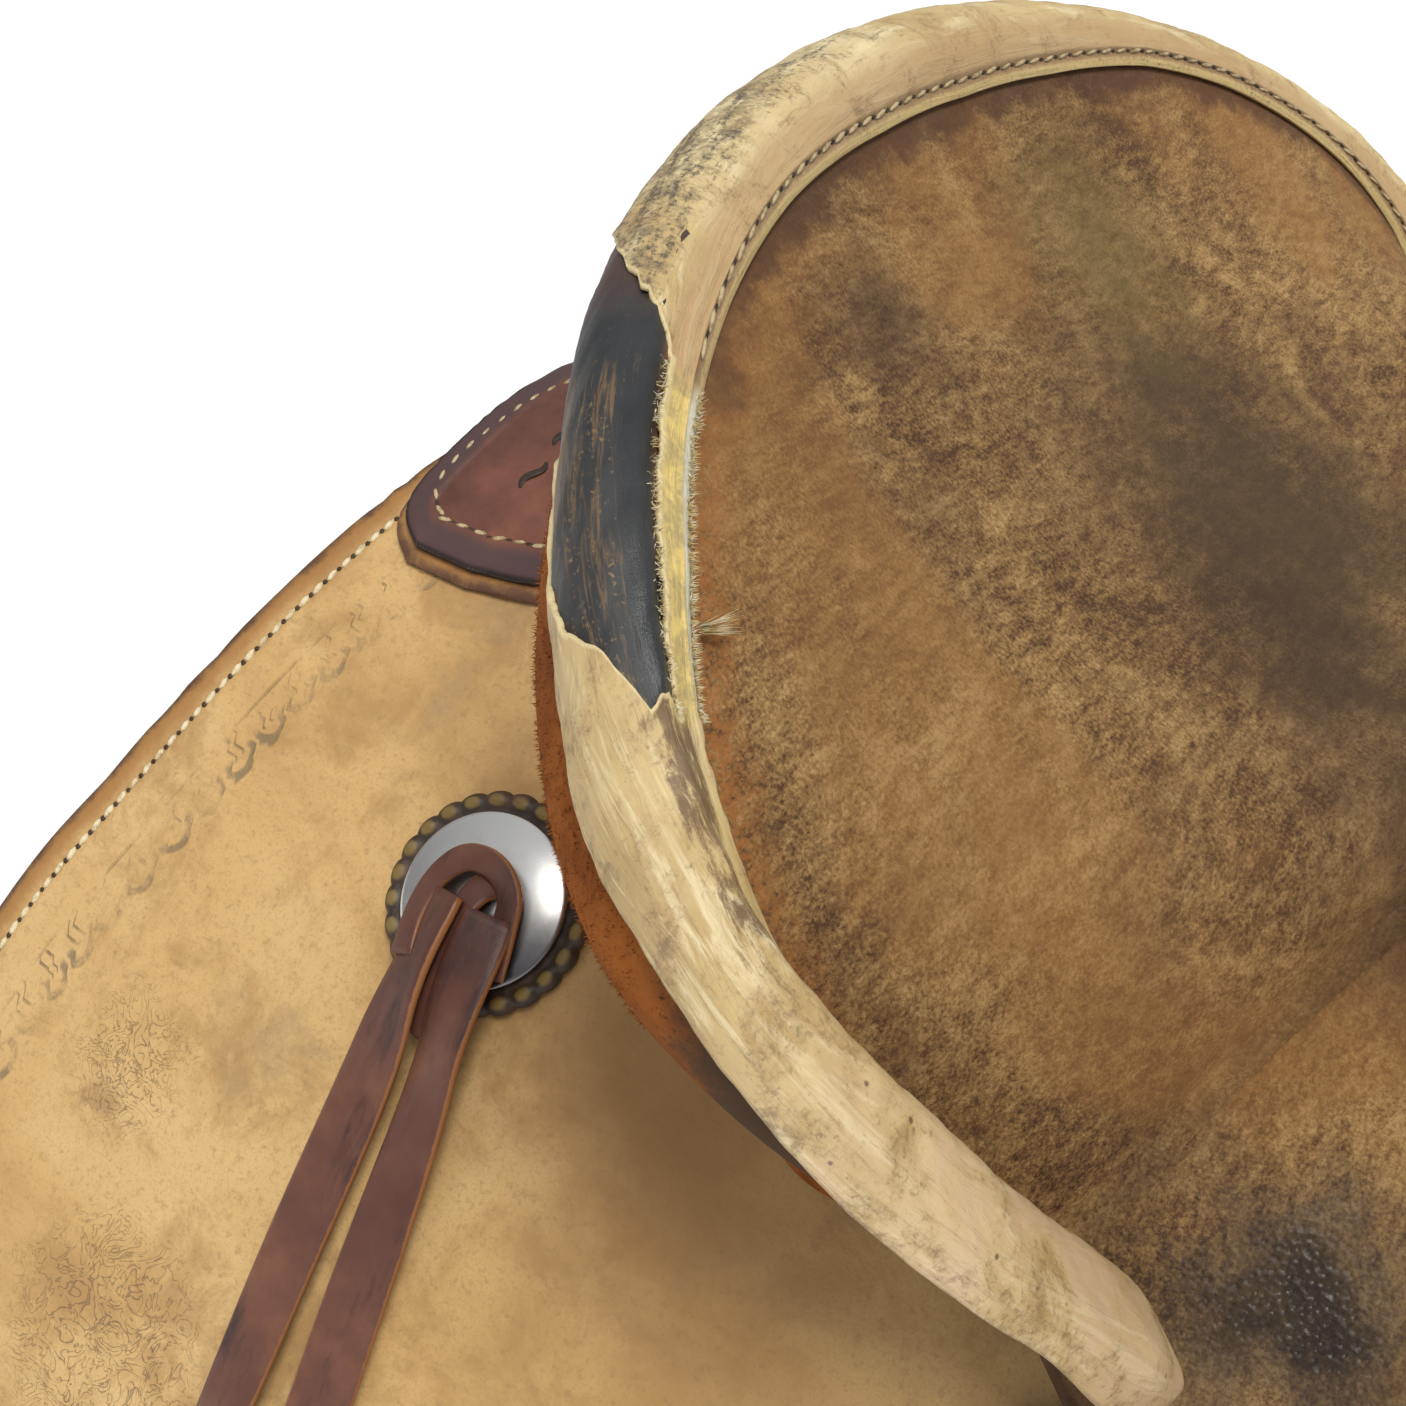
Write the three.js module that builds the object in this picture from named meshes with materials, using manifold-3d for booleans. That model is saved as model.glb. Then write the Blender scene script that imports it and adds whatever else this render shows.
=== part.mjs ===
// A western stock saddle, as a three.js scene graph of separate closed solids.
// Millimetres. +X points to the horse's head, +Y to its left side, +Z up.
// The origin lies on the horse's spine, midway between the undersides of the two skirts.
import * as THREE from "three";
import { mergeVertices } from "three/addons/utils/BufferGeometryUtils.js";
import Module from "manifold-3d";

const wasm = await Module();
wasm.setup();

// ---------- driving dimensions ----------
const GAP = 0.4; // clearance between pieces that touch
const LEATHER = 5; // skirt leather
const FLEECE = 16; // sheepskin under the skirts
const SEAT_LEATHER = 4;
const BACK = { apex: 25, slope: 1.1, ridge: 55, flank: 230, rocker: 16, half: 330 }; // the horse's back
const RIM = { rear: -200, depth: 102.5, half: 193.4, rake: 0.698, top: 125.5, sweep: 1.988 }; // cantle rim
const RIM_END = { drop: 51.3, tuck: 0.255, rearward: 15 }; // how the rim's two ends settle onto the bars
const SEAT_LOW = [-20, 0, 48]; // lowest point of the seat
const BINDING = { wide: 10.4, high: 9.2, skin: 1.9 }; // rawhide binding: half sizes and thickness
const TEAR = { from: 0.3, to: 0.57 }; // worn-through stretch, as a share of the right half of the rim
const BAR_THICK = 10;
const JOCKEY_LIFT = 29; // the seat's side flaps ride over the stirrup leathers
const FORK = { rear: 192, depth: 74, bevel: 8, cover: 4.5 };
const HORN = { x: 238, neck: 17, base: 123.6, plate: 172, radius: 40 };
const PIVOT = { x: 85, y: 178 }; // where each stirrup leather hangs
const STRAP = 64; // stirrup leather width
const BOLT = { z: -462, radius: 5 };
const STIRRUP = { wide: 62, y: 271 };

const LEATHERS = { tan: 0xb98a4e, rough: 0x8a5a2c, dark: 0x4a2a1c, raw: 0xd9c27e, black: 0x2a2622 };
const material = (color, roughness = 0.75, metalness = 0) =>
  new THREE.MeshStandardMaterial({ color, roughness, metalness });
const TAN = material(LEATHERS.tan);
const ROUGH = material(LEATHERS.rough, 0.9);
const DARK = material(LEATHERS.dark, 0.6);
const RAW = material(LEATHERS.raw, 0.5);
const BLACK = material(LEATHERS.black, 0.35);
const WOOD = material(0xa98257, 0.8);
const WOOL = material(0xe4dcc4, 1);
const SILVER = material(0xc9c7c4, 0.3, 1);
const STEEL = material(0x8d8d8d, 0.4, 1);

const saddle = new THREE.Group();
function add(name, geometry, paint) {
  const mesh = new THREE.Mesh(geometry, paint);
  mesh.name = name;
  saddle.add(mesh);
  return mesh;
}

// ---------- closed solids from sheets ----------
// Drops flat triangles, joins equal corners and turns the faces outwards.
function closed(points, triangles) {
  const geometry = new THREE.BufferGeometry();
  geometry.setAttribute("position", new THREE.Float32BufferAttribute(points.flat(), 3));
  geometry.setIndex(triangles.flat());
  const merged = mergeVertices(geometry, 1e-3);
  const index = [...merged.index.array];
  const corner = (k) => new THREE.Vector3().fromBufferAttribute(merged.attributes.position, k);
  const kept = [];
  let volume = 0;
  for (let i = 0; i < index.length; i += 3) {
    const [a, b, c] = index.slice(i, i + 3);
    if (a === b || b === c || a === c) continue;
    volume += corner(a).dot(corner(b).cross(corner(c)));
    kept.push([a, b, c]);
  }
  merged.setIndex(volume < 0 ? kept.map(([a, b, c]) => [a, c, b]).flat() : kept.flat());
  return merged;
}

// A solid between two sheets of the same grid; each sheet is a function of (u, v) from 0 to 1.
function slab(nu, nv, upper, lower, wrap = false) {
  const points = [];
  const triangles = [];
  for (const sheet of [upper, lower])
    for (let i = 0; i <= nu; i++) for (let j = 0; j <= nv; j++) points.push(sheet((wrap ? i % nu : i) / nu, j / nv));
  const at = (side, i, j) => side * (nu + 1) * (nv + 1) + i * (nv + 1) + j;
  const quad = (a, b, c, d) => triangles.push([a, b, c], [a, c, d]);
  for (let i = 0; i < nu; i++) {
    for (let j = 0; j < nv; j++) {
      quad(at(0, i, j), at(0, i + 1, j), at(0, i + 1, j + 1), at(0, i, j + 1));
      quad(at(1, i, j), at(1, i, j + 1), at(1, i + 1, j + 1), at(1, i + 1, j));
    }
    quad(at(1, i, 0), at(1, i + 1, 0), at(0, i + 1, 0), at(0, i, 0));
    quad(at(0, i, nv), at(0, i + 1, nv), at(1, i + 1, nv), at(1, i, nv));
  }
  if (!wrap)
    for (let j = 0; j < nv; j++) {
      quad(at(0, 0, j), at(0, 0, j + 1), at(1, 0, j + 1), at(1, 0, j));
      quad(at(1, nu, j), at(1, nu, j + 1), at(0, nu, j + 1), at(0, nu, j));
    }
  return closed(points, triangles);
}

// A solid swept through a list of rings, each a closed list of corners, with flat ends.
function loft(rings) {
  const n = rings[0].length;
  const triangles = [];
  for (let i = 0; i + 1 < rings.length; i++)
    for (let j = 0; j < n; j++) {
      const k = (j + 1) % n;
      triangles.push([i * n + j, i * n + k, (i + 1) * n + k], [i * n + j, (i + 1) * n + k, (i + 1) * n + j]);
    }
  const flat = rings[0].map((p) => new THREE.Vector2(p.u, p.v));
  const end = (rings.length - 1) * n;
  const turning = Math.sign(THREE.ShapeUtils.area(flat));
  for (const [a, b, c] of THREE.ShapeUtils.triangulateShape(flat, [])) {
    const agrees = Math.sign(THREE.ShapeUtils.area([flat[a], flat[b], flat[c]])) === turning;
    triangles.push(agrees ? [a, c, b] : [a, b, c]);
    triangles.push(agrees ? [end + a, end + b, end + c] : [end + a, end + c, end + b]);
  }
  return closed(rings.flat().map((p) => p.at), triangles);
}

// An outline in the YZ plane, extruded along X from x0.
function across(outline, x0, depth, bevel = 0) {
  const shape = new THREE.Shape(outline.map(([y, z]) => new THREE.Vector2(y, z)));
  const settings = { depth: depth - 2 * bevel, bevelEnabled: bevel > 0, bevelSize: bevel, bevelThickness: bevel };
  const geometry = new THREE.ExtrudeGeometry(shape, { ...settings, bevelSegments: 2, bevelOffset: -bevel });
  const turn = new THREE.Matrix4().set(0, 0, 1, x0 + bevel, 1, 0, 0, 0, 0, 1, 0, 0, 0, 0, 0, 1);
  return tidy(geometry.applyMatrix4(turn));
}

// Keeps only the positions of a geometry and joins its corners.
function tidy(geometry) {
  const bare = (geometry.index ? geometry.toNonIndexed() : geometry).clone();
  for (const name of Object.keys(bare.attributes)) if (name !== "position") bare.deleteAttribute(name);
  return mergeVertices(bare, 1e-3);
}

function solid(geometry) {
  const bare = tidy(geometry);
  return new wasm.Manifold(
    new wasm.Mesh({ numProp: 3, vertProperties: bare.attributes.position.array, triVerts: bare.index.array }),
  );
}

function meshed(manifold) {
  const made = manifold.getMesh();
  const geometry = new THREE.BufferGeometry();
  geometry.setAttribute("position", new THREE.BufferAttribute(new Float32Array(made.vertProperties), 3));
  return geometry.setIndex([...made.triVerts]);
}

const lerp = (a, b, s) => a + (b - a) * s;
const spline2 = (points) => new THREE.SplineCurve(points.map(([x, y]) => new THREE.Vector2(x, y)));

// ---------- the horse's back ----------
function backHeight(x, y) {
  const bend = Math.sqrt(y * y + BACK.ridge ** 2) - BACK.ridge;
  return BACK.apex + BACK.rocker * (x / BACK.half) ** 2 - BACK.slope * bend - y ** 4 / (4 * BACK.flank ** 3);
}
function backNormal(x, y) {
  const dx = (backHeight(x + 1, y) - backHeight(x - 1, y)) / 2;
  const dy = (backHeight(x, y + 1) - backHeight(x, y - 1)) / 2;
  return new THREE.Vector3(-dx, -dy, 1).normalize();
}
// A point h above the skirts' outer face, measured square to it.
function onBack(x, y, h) {
  return new THREE.Vector3(x, y, backHeight(x, y)).addScaledVector(backNormal(x, y), h).toArray();
}

// A sheet on the horse's back between a rear edge and a front edge, both from the spine outwards.
function backSheet(side, rear, front, h) {
  return (u, v) => {
    const a = rear.getPoint(v);
    const b = front.getPoint(v);
    return onBack(lerp(a.x, b.x, u), side * lerp(a.y, b.y, u), h);
  };
}

// ---------- the cantle rim ----------
// t runs from -1 at the right end, over the top, to 1 at the left end.
function rim(t) {
  const a = t * RIM.sweep;
  const end = t ** 4;
  const rise = 1 - Math.cos(a);
  const x = RIM.rear + RIM.depth * rise - RIM_END.rearward * end;
  const y = RIM.half * Math.sin(a) * (1 - RIM_END.tuck * end);
  return new THREE.Vector3(x, y, RIM.top - RIM.rake * RIM.depth * rise - RIM_END.drop * end);
}
// Directions across the rim: out from the seat, and up off the rim.
function rimFrame(t) {
  const along = rim(t + 0.002).sub(rim(t - 0.002)).normalize();
  const out = new THREE.Vector3(0, 0, 1).cross(along).normalize();
  return { at: rim(t), along, out, up: along.clone().cross(out).normalize() };
}
function offRim(t, out, up) {
  const frame = rimFrame(t);
  return frame.at.addScaledVector(frame.out, out).addScaledVector(frame.up, up);
}

// ---------- seat ----------
// The seat's edge on the right side: along the binding, then down round the jockey and up to the fork.
const jockeyEdge = new THREE.CatmullRomCurve3(
  [
    offRim(-1, -BINDING.wide - 1.5, -7).toArray(),
    onBack(-36, -140, 13),
    onBack(-12, -170, 16),
    onBack(34, -186, JOCKEY_LIFT + 4),
    onBack(110, -188, JOCKEY_LIFT),
    onBack(154, -160, JOCKEY_LIFT),
    [182, -118, -16],
    [184, -60, 50],
    [184, -28, 70],
    [184, 0, 74],
  ].map((p) => new THREE.Vector3(...p)),
);
// s runs from 0 at the rear to 1 at the fork.
function seatEdge(s) {
  if (s <= 0.5) return offRim(-2 * s, -BINDING.wide - 1.5, -7);
  return jockeyEdge.getPoint(2 * s - 1);
}
// How sharply the seat turns up or down towards its edge: a deep dish behind, flatter in front.
const seatBend = (s) => lerp(2.6, 2.1, THREE.MathUtils.smoothstep(s, 0.3, 0.95));
// loop runs once round the seat, 0 at the rear; out is 0 at the low point and 1 at the edge.
function seatPoint(loop, out) {
  const right = loop <= 0.5;
  const s = right ? 2 * loop : 2 - 2 * loop;
  const edge = seatEdge(s);
  const z = lerp(SEAT_LOW[2], edge.z, out ** seatBend(s));
  const y = lerp(SEAT_LOW[1], edge.y, out) * (right ? 1 : -1);
  return new THREE.Vector3(lerp(SEAT_LOW[0], edge.x, out), y, z);
}
function seatNormal(loop, out) {
  const o = Math.min(Math.max(out, 0.02), 0.99);
  const round = seatPoint((loop + 0.004) % 1, o).sub(seatPoint((loop + 0.996) % 1, o));
  const away = seatPoint(loop, o + 0.01).sub(seatPoint(loop, o - 0.01));
  const normal = round.cross(away).normalize();
  return normal.z < 0 ? normal.negate() : normal;
}
const seatSheet = (depth, low, high) => (u, v) => {
  const out = lerp(low, high, v);
  const normal = out < 0.03 ? new THREE.Vector3(0, 0, 1) : seatNormal(u, out);
  return seatPoint(u, out).addScaledVector(normal, -depth).toArray();
};
add("seat_leather", slab(36, 7, seatSheet(0, 0, 1), seatSheet(SEAT_LEATHER, 0, 1), true), ROUGH);
add("ground_seat", slab(36, 3, seatSheet(SEAT_LEATHER + 2, 0, 0.55), seatSheet(12, 0, 0.55), true), STEEL);

// ---------- cantle ----------
const CORE = { wide: BINDING.wide - BINDING.skin - 1.5, high: BINDING.high - BINDING.skin - 1.5 };
const ellipseRing = (t, wide, high, n) =>
  Array.from({ length: n }, (_, k) => {
    const a = (2 * Math.PI * k) / n;
    return { u: wide * Math.cos(a), v: high * Math.sin(a), at: offRim(t, wide * Math.cos(a), high * Math.sin(a)).toArray() };
  });
const taper = (t) => lerp(1, 0.55, THREE.MathUtils.smoothstep(Math.abs(t), 0.9, 1));
const CORE_STEPS = 30;
const coreRings = Array.from({ length: CORE_STEPS + 1 }, (_, i) => {
  const t = lerp(-0.985, 0.985, i / CORE_STEPS);
  return ellipseRing(t, CORE.wide * taper(t), CORE.high * taper(t), 8);
});
add("cantle_filler", loft(coreRings), BLACK);

// The rawhide wraps the filler from the seat side, over the top, to the back; it is worn away over the tear.
const WRAP = { front: -0.55, back: 3.75 }; // radians, from the seat side up and over
function wrapRings(from, to, steps, first, last, corners, outer, inner) {
  return Array.from({ length: steps + 1 }, (_, i) => {
    const t = lerp(from, to, i / steps);
    const corner = (shrink, k) => {
      const a = lerp(first, last, k / corners);
      const u = -(BINDING.wide - shrink) * taper(t) * Math.cos(a);
      const v = (BINDING.high - shrink) * taper(t) * Math.sin(a);
      return { u, v, at: offRim(t, u, v).toArray() };
    };
    const order = [...Array(corners + 1).keys()];
    return [...order.map((k) => corner(outer, k)), ...order.reverse().map((k) => corner(inner, k))];
  });
}
const wholeBinding = loft(wrapRings(-1, 1, 34, WRAP.front, WRAP.back, 6, 0, BINDING.skin));
const wornAway = loft(wrapRings(-TEAR.to, -TEAR.from, 10, 0.75, 4.4, 6, -4, 3.6));
add("cantle_binding", meshed(solid(wholeBinding).subtract(solid(wornAway))), RAW);

// Leather over the back of the cantle: it bulges just below the binding, then runs in to the skirts.
function cantleBack(t, w) {
  const top = offRim(t, 2, -BINDING.high - 1.2);
  const spread = 0.72;
  const base = new THREE.Vector3(...onBack(-184 + 0.9 * (top.x + 200), spread * rim(t).y, 6.5));
  const bulge = 15 * Math.sin(Math.PI * Math.min(1, w * 1.9)) * (1 - 0.7 * t ** 8) * (w < 0.53 ? 1 : 0);
  return top.lerp(base, w).addScaledVector(rimFrame(t).out, Math.max(0, bulge));
}
const BACK_REACH = 0.9;
const backFace = (inset) => (u, v) => {
  const t = lerp(-BACK_REACH, BACK_REACH, u);
  return cantleBack(t, v).addScaledVector(rimFrame(t).out, -inset).toArray();
};
add("cantle_back", slab(24, 6, backFace(0), backFace(4)), ROUGH);

// The wooden cantle between the seat and the back leather.
const BOARD_REACH = 0.72;
const boardFront = (u, v) => {
  const t = lerp(-BOARD_REACH, BOARD_REACH, u);
  const out = lerp(0.94, 0.74, v);
  const loop = t <= 0 ? -t / 4 : 1 - t / 4;
  return seatPoint(loop % 1, out).addScaledVector(seatNormal(loop % 1, out), -12).toArray();
};
const boardBack = (u, v) => backFace(4 + 2.5)(lerp(0.5 - BOARD_REACH / BACK_REACH / 2, 0.5 + BOARD_REACH / BACK_REACH / 2, u), lerp(0.14, 0.72, v));
add("cantle_board", slab(20, 3, boardFront, boardBack), WOOD);

// ---------- fork, horn and their covers ----------
const forkHalf = [[0, 62], [26, 56], [46, 42], [60, 27], [118, -27], [128, -8], [142, 28], [146, 62], [134, 92], [98, 111], [44, 118], [0, 119]];
const mirrored = (half) => [...half.slice(0, -1), ...half.slice(1).reverse().map(([y, z]) => [-y, z])];
// Moves every corner of a closed outline outwards by d.
function grown(outline, d) {
  const n = outline.length;
  const turns = outline.reduce((sum, [y, z], k) => sum + y * outline[(k + 1) % n][1] - z * outline[(k + 1) % n][0], 0);
  const way = Math.sign(turns);
  return outline.map(([y, z], k) => {
    const [py, pz] = outline[(k + n - 1) % n];
    const [qy, qz] = outline[(k + 1) % n];
    const a = new THREE.Vector2(z - pz, py - y).normalize();
    const b = new THREE.Vector2(qz - z, y - qy).normalize();
    const m = a.clone().add(b).normalize();
    const stretch = d / Math.max(0.6, m.dot(a));
    return [y + way * m.x * stretch, z + way * m.y * stretch];
  });
}
const forkOutline = mirrored(forkHalf);
add("fork", across(forkOutline, FORK.rear, FORK.depth, FORK.bevel), WOOD);
const coverOuter = across(grown(forkOutline, FORK.cover), FORK.rear - FORK.cover, FORK.depth + 2 * FORK.cover, FORK.bevel + 2);
const coverInner = across(grown(forkOutline, GAP), FORK.rear - GAP, FORK.depth + 2 * GAP, FORK.bevel);
// The cover has no sole: it stops where the fork stands on the bars.
function underFork(side) {
  const toe = [[64, 32], [124, -26], [112, -60], [40, -20]].map(([y, z]) => [side * y, z]);
  return solid(closedPrism(toe, FORK.rear - 20, FORK.depth + 40));
}
function closedPrism(outline, x0, depth) {
  const turns = outline.reduce((s, [y, z], k) => s + y * outline[(k + 1) % outline.length][1] - z * outline[(k + 1) % outline.length][0], 0);
  return across(turns < 0 ? [...outline].reverse() : outline, x0, depth);
}
const swellCover = solid(coverOuter).subtract(solid(coverInner)).subtract(underFork(1)).subtract(underFork(-1));
add("swell_cover", meshed(swellCover), TAN);

function turned(profile, segments = 24) {
  const geometry = new THREE.LatheGeometry(profile.map(([r, z]) => new THREE.Vector2(r, z)), segments);
  geometry.rotateX(Math.PI / 2);
  return tidy(geometry);
}
function hornPart(name, profile, paint) {
  const mesh = add(name, turned(profile), paint);
  mesh.position.set(HORN.x, 0, 0);
}
const { neck, base, plate, radius } = HORN;
hornPart("horn_core", [[0, base], [26, base], [22, base + 6], [neck, base + 12], [neck, plate], [radius, plate], [radius, plate + 5], [0, plate + 5]], STEEL);
hornPart("horn_wrap", [[neck + GAP, base + 13], [neck + 7, base + 13], [neck + 5, plate - 6], [neck + GAP, plate - 6], [neck + GAP, base + 13]], DARK);
hornPart("horn_cap", [[0, plate + 5.4], [radius + GAP, plate + 5.4], [radius + GAP, plate - GAP], [26, plate - GAP], [26, plate - 4],
  [radius + 3, plate - 4], [radius + 6, plate + 1], [radius + 4, plate + 8], [radius - 8, plate + 11], [0, plate + 11]], DARK);

// ---------- skirts, sheepskin and bars ----------
const skirtRear = [[-278, 2], [-284, 26], [-294, 48], [-309, 81], [-321, 109], [-334, 138], [-342, 172], [-336, 208], [-312, 230], [-286, 238]];
const skirtFront = [[282, 46], [306, 62], [326, 100], [336, 145], [336, 190], [322, 222], [284, 236]];
const inset = (points, d) => {
  const [cx, cy] = [0, 120];
  return points.map(([x, y]) => [x - Math.sign(x - cx) * d, y - Math.sign(y - cy) * Math.min(d, Math.abs(y - cy))]);
};
const skirtEdges = [spline2(skirtRear), spline2(skirtFront)];
const fleeceEdges = [spline2(inset(skirtRear, 3)), spline2(inset(skirtFront, 3))];
const barEdges = [spline2([[-150, 44], [-147, 58], [-138, 72], [-118, 84]]), spline2([[282, 56], [288, 78], [286, 102], [274, 122]])];
const SIDES = [["right", -1], ["left", 1]];
for (const [hand, side] of SIDES) {
  add(`skirt_${hand}`, slab(14, 8, backSheet(side, ...skirtEdges, 0), backSheet(side, ...skirtEdges, -LEATHER)), TAN);
  const under = -LEATHER - 1.4;
  add(`sheepskin_${hand}`, slab(14, 8, backSheet(side, ...fleeceEdges, under), backSheet(side, ...fleeceEdges, under - FLEECE)), WOOL);
  add(`bar_${hand}`, slab(12, 3, backSheet(side, ...barEdges, BAR_THICK), backSheet(side, ...barEdges, GAP)), WOOD);
}

// The plate that joins the two skirts behind the cantle.
const plateRear = [[-278, -56.5], [-286, -49], [-283, -27], [-279, 0], [-283, 27], [-286, 49], [-278, 56.5]];
const plateFront = [[-262, -56], [-236, -49], [-222, -27], [-219, 0], [-222, 27], [-236, 49], [-262, 56]];
const joinSheet = (h) => backSheet(1, spline2(plateRear), spline2(plateFront), h);
add("joining_plate", slab(6, 12, joinSheet(4.6), joinSheet(0.9)), DARK);

// ---------- conchos on scalloped rosettes ----------
const CONCHO = { radius: 19, rosette: 24 };
const CONCHO_SPOTS = { rear: [-219.5, 100.5], cantle: [-66, 134], front: [270, 152] };
function seated(geometry, x, y, h) {
  const normal = backNormal(x, y);
  const turn = new THREE.Quaternion().setFromUnitVectors(new THREE.Vector3(0, 0, 1), normal);
  return geometry.applyQuaternion(turn).translate(...onBack(x, y, h));
}
function scalloped(radius, scallops, thick) {
  const shape = new THREE.Shape();
  const STEPS = 2;
  for (let k = 0; k < scallops * STEPS; k++) {
    const a = (2 * Math.PI * k) / (scallops * STEPS);
    const r = radius - 2.2 + 2.2 * Math.abs(Math.sin((a * scallops) / 2));
    shape[k ? "lineTo" : "moveTo"](r * Math.cos(a), r * Math.sin(a));
  }
  return tidy(new THREE.ExtrudeGeometry(shape, { depth: thick, bevelEnabled: false }));
}
const conchoProfile = [[0, 0], [CONCHO.radius, 0], [CONCHO.radius, 1], [14, 3.2], [7, 4.3], [0, 4.6]];
for (const [hand, side] of SIDES)
  for (const [place, [x, y]] of Object.entries(CONCHO_SPOTS)) {
    add(`rosette_${place}_${hand}`, seated(scalloped(CONCHO.rosette, 18, 3), x, side * y, 0.9), DARK);
    add(`concho_${place}_${hand}`, seated(turned(conchoProfile, 14), x, side * y, 4.3), SILVER);
  }

// ---------- saddle strings ----------
// Each tail leaves a concho and hangs down the skirt, then free below it.
const STRING = { thick: 7, free: 150 };
function tailCurve(side, x, y, lean) {
  const points = [];
  for (const [share, dy, h] of [[0, 1, 13], [0.1, 14, 12.5], [0.25, 30, 8], [0.5, 60, 6], [0.8, 95, 6]])
    if (y + dy < 220) points.push(onBack(x + lean * share, side * (y + dy), h));
  const hem = onBack(x + lean, side * 236, 10);
  points.push(hem);
  for (const s of [0.15, 0.4, 0.7, 1]) points.push([hem[0], hem[1] + side * 3 * Math.sin(s * 1.6), hem[2] - STRING.free * s]);
  return new THREE.CatmullRomCurve3(points.map((p) => new THREE.Vector3(...p)));
}
const stringSection = new THREE.Shape(
  Array.from({ length: 8 }, (_, k) => new THREE.Vector2(Math.cos((k * Math.PI) / 4), Math.sin((k * Math.PI) / 4)).multiplyScalar(STRING.thick / 2)),
);
const TAILS = { rear: [["a", 7, 14], ["b", -4, -2]], cantle: [["a", 7, 8], ["b", -5, -8]] };
for (const [hand, side] of SIDES)
  for (const [place, tails] of Object.entries(TAILS))
    for (const [letter, shift, lean] of tails) {
      const [x, y] = CONCHO_SPOTS[place];
      const path = tailCurve(side, x + shift, y, lean);
      add(`string_${place}_${hand}_${letter}`, tidy(new THREE.ExtrudeGeometry(stringSection, { steps: 12, extrudePath: path })), DARK);
    }

// ---------- rigging ----------
const RIGGING = { front: [222, 196], rear: [-150, 196] };
const DEE = { bar: 3.3, height: 9.2 };
const deeOutline = [[-15, 0], [0, 0], [15, 0], [21, 5], [22, 14], [17, 26], [0, 33], [-17, 26], [-22, 14], [-21, 5]];
const deePath = new THREE.CatmullRomCurve3(deeOutline.map(([x, y]) => new THREE.Vector3(x, y, 0)), true);
// A closed ring of round bar, flat in its own plane, with the straight bar along its X axis.
function deeSheet(sign) {
  return (u, v) => {
    const p = deePath.getPointAt(u % 1);
    const ahead = deePath.getTangentAt(u % 1);
    const turn = sign * Math.PI * v;
    p.x += ahead.y * DEE.bar * Math.cos(turn);
    p.y -= ahead.x * DEE.bar * Math.cos(turn);
    return [p.x, p.y, DEE.bar * Math.sin(turn)];
  };
}
// Places a piece drawn flat (X along the horse, Y down the slope, Z off the skirt) on the saddle's side.
function laidOn(geometry, side, x, y, h) {
  const off = backNormal(x, side * y);
  const down = off.clone().cross(new THREE.Vector3(1, 0, 0)).multiplyScalar(side).normalize();
  const basis = new THREE.Matrix4().makeBasis(new THREE.Vector3(1, 0, 0), down, off);
  basis.setPosition(...onBack(x, side * y, h));
  const placed = geometry.applyMatrix4(basis);
  if (basis.determinant() < 0) {
    const k = placed.index.array;
    placed.setIndex([...k].map((_, i) => k[i - (i % 3) + 2 - (i % 3)]));
  }
  return placed;
}
const HANGER = { y: 184, keeper: [22, 15, 12.6] };
for (const [hand, side] of SIDES)
  for (const [place, [x, y]] of Object.entries(RIGGING)) {
    const edge = (dx) => spline2([[x + dx * 0.7, y - 30], [x + dx, y - 18], [x + dx, y - 2], [x + dx * 0.5, y + 6]]);
    const sheet = (h) => backSheet(side, edge(-30), edge(30), h);
    const leather = solid(slab(5, 4, sheet(5), sheet(GAP)));
    const block = new THREE.BoxGeometry(...HANGER.keeper).translate(0, 0, -0.5);
    const bore = new THREE.CylinderGeometry(DEE.bar + 0.9, DEE.bar + 0.9, 40, 12).rotateZ(Math.PI / 2);
    const loop = solid(laidOn(tidy(block), side, x, HANGER.y, DEE.height));
    const hole = solid(laidOn(tidy(bore), side, x, HANGER.y, DEE.height));
    add(`rigging_leather_${place}_${hand}`, meshed(leather.add(loop).subtract(hole)), TAN);
    const ring = slab(18, 3, deeSheet(1), deeSheet(-1), true);
    add(`rigging_ring_${place}_${hand}`, laidOn(ring, side, x, HANGER.y, DEE.height), STEEL);
  }

// ---------- fenders, stirrup leathers and stirrups ----------
// The path of the hanging leather in the YZ plane: over the skirt, then straight down.
function hangingPath(h) {
  const points = [];
  for (const y of [158, 178, 200, 222]) points.push(onBack(PIVOT.x, -y, h).slice(1));
  points.push([-243 - h, -262], [-250 - h, -300], [-254 - h, -360], [-256 - h, -410]);
  return points;
}
const pathAt = (points) => new THREE.SplineCurve(points.map(([y, z]) => new THREE.Vector2(y, z)));
const FENDER_LIFT = 13;
const FENDER_THICK = 3.4;
const fenderWidth = spline2([[0, 30], [0.16, 33], [0.34, 62], [0.55, 92], [0.75, 96], [0.9, 66], [1, 38]]);
const widthAt = (v) => fenderWidth.getPoint(v).y;
function fenderSheet(side, h) {
  const path = pathAt(hangingPath(h));
  return (u, v) => {
    const p = path.getPoint(v);
    return [PIVOT.x + lerp(-1, 1, u) * widthAt(v), -side * p.x, p.y];
  };
}
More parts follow.
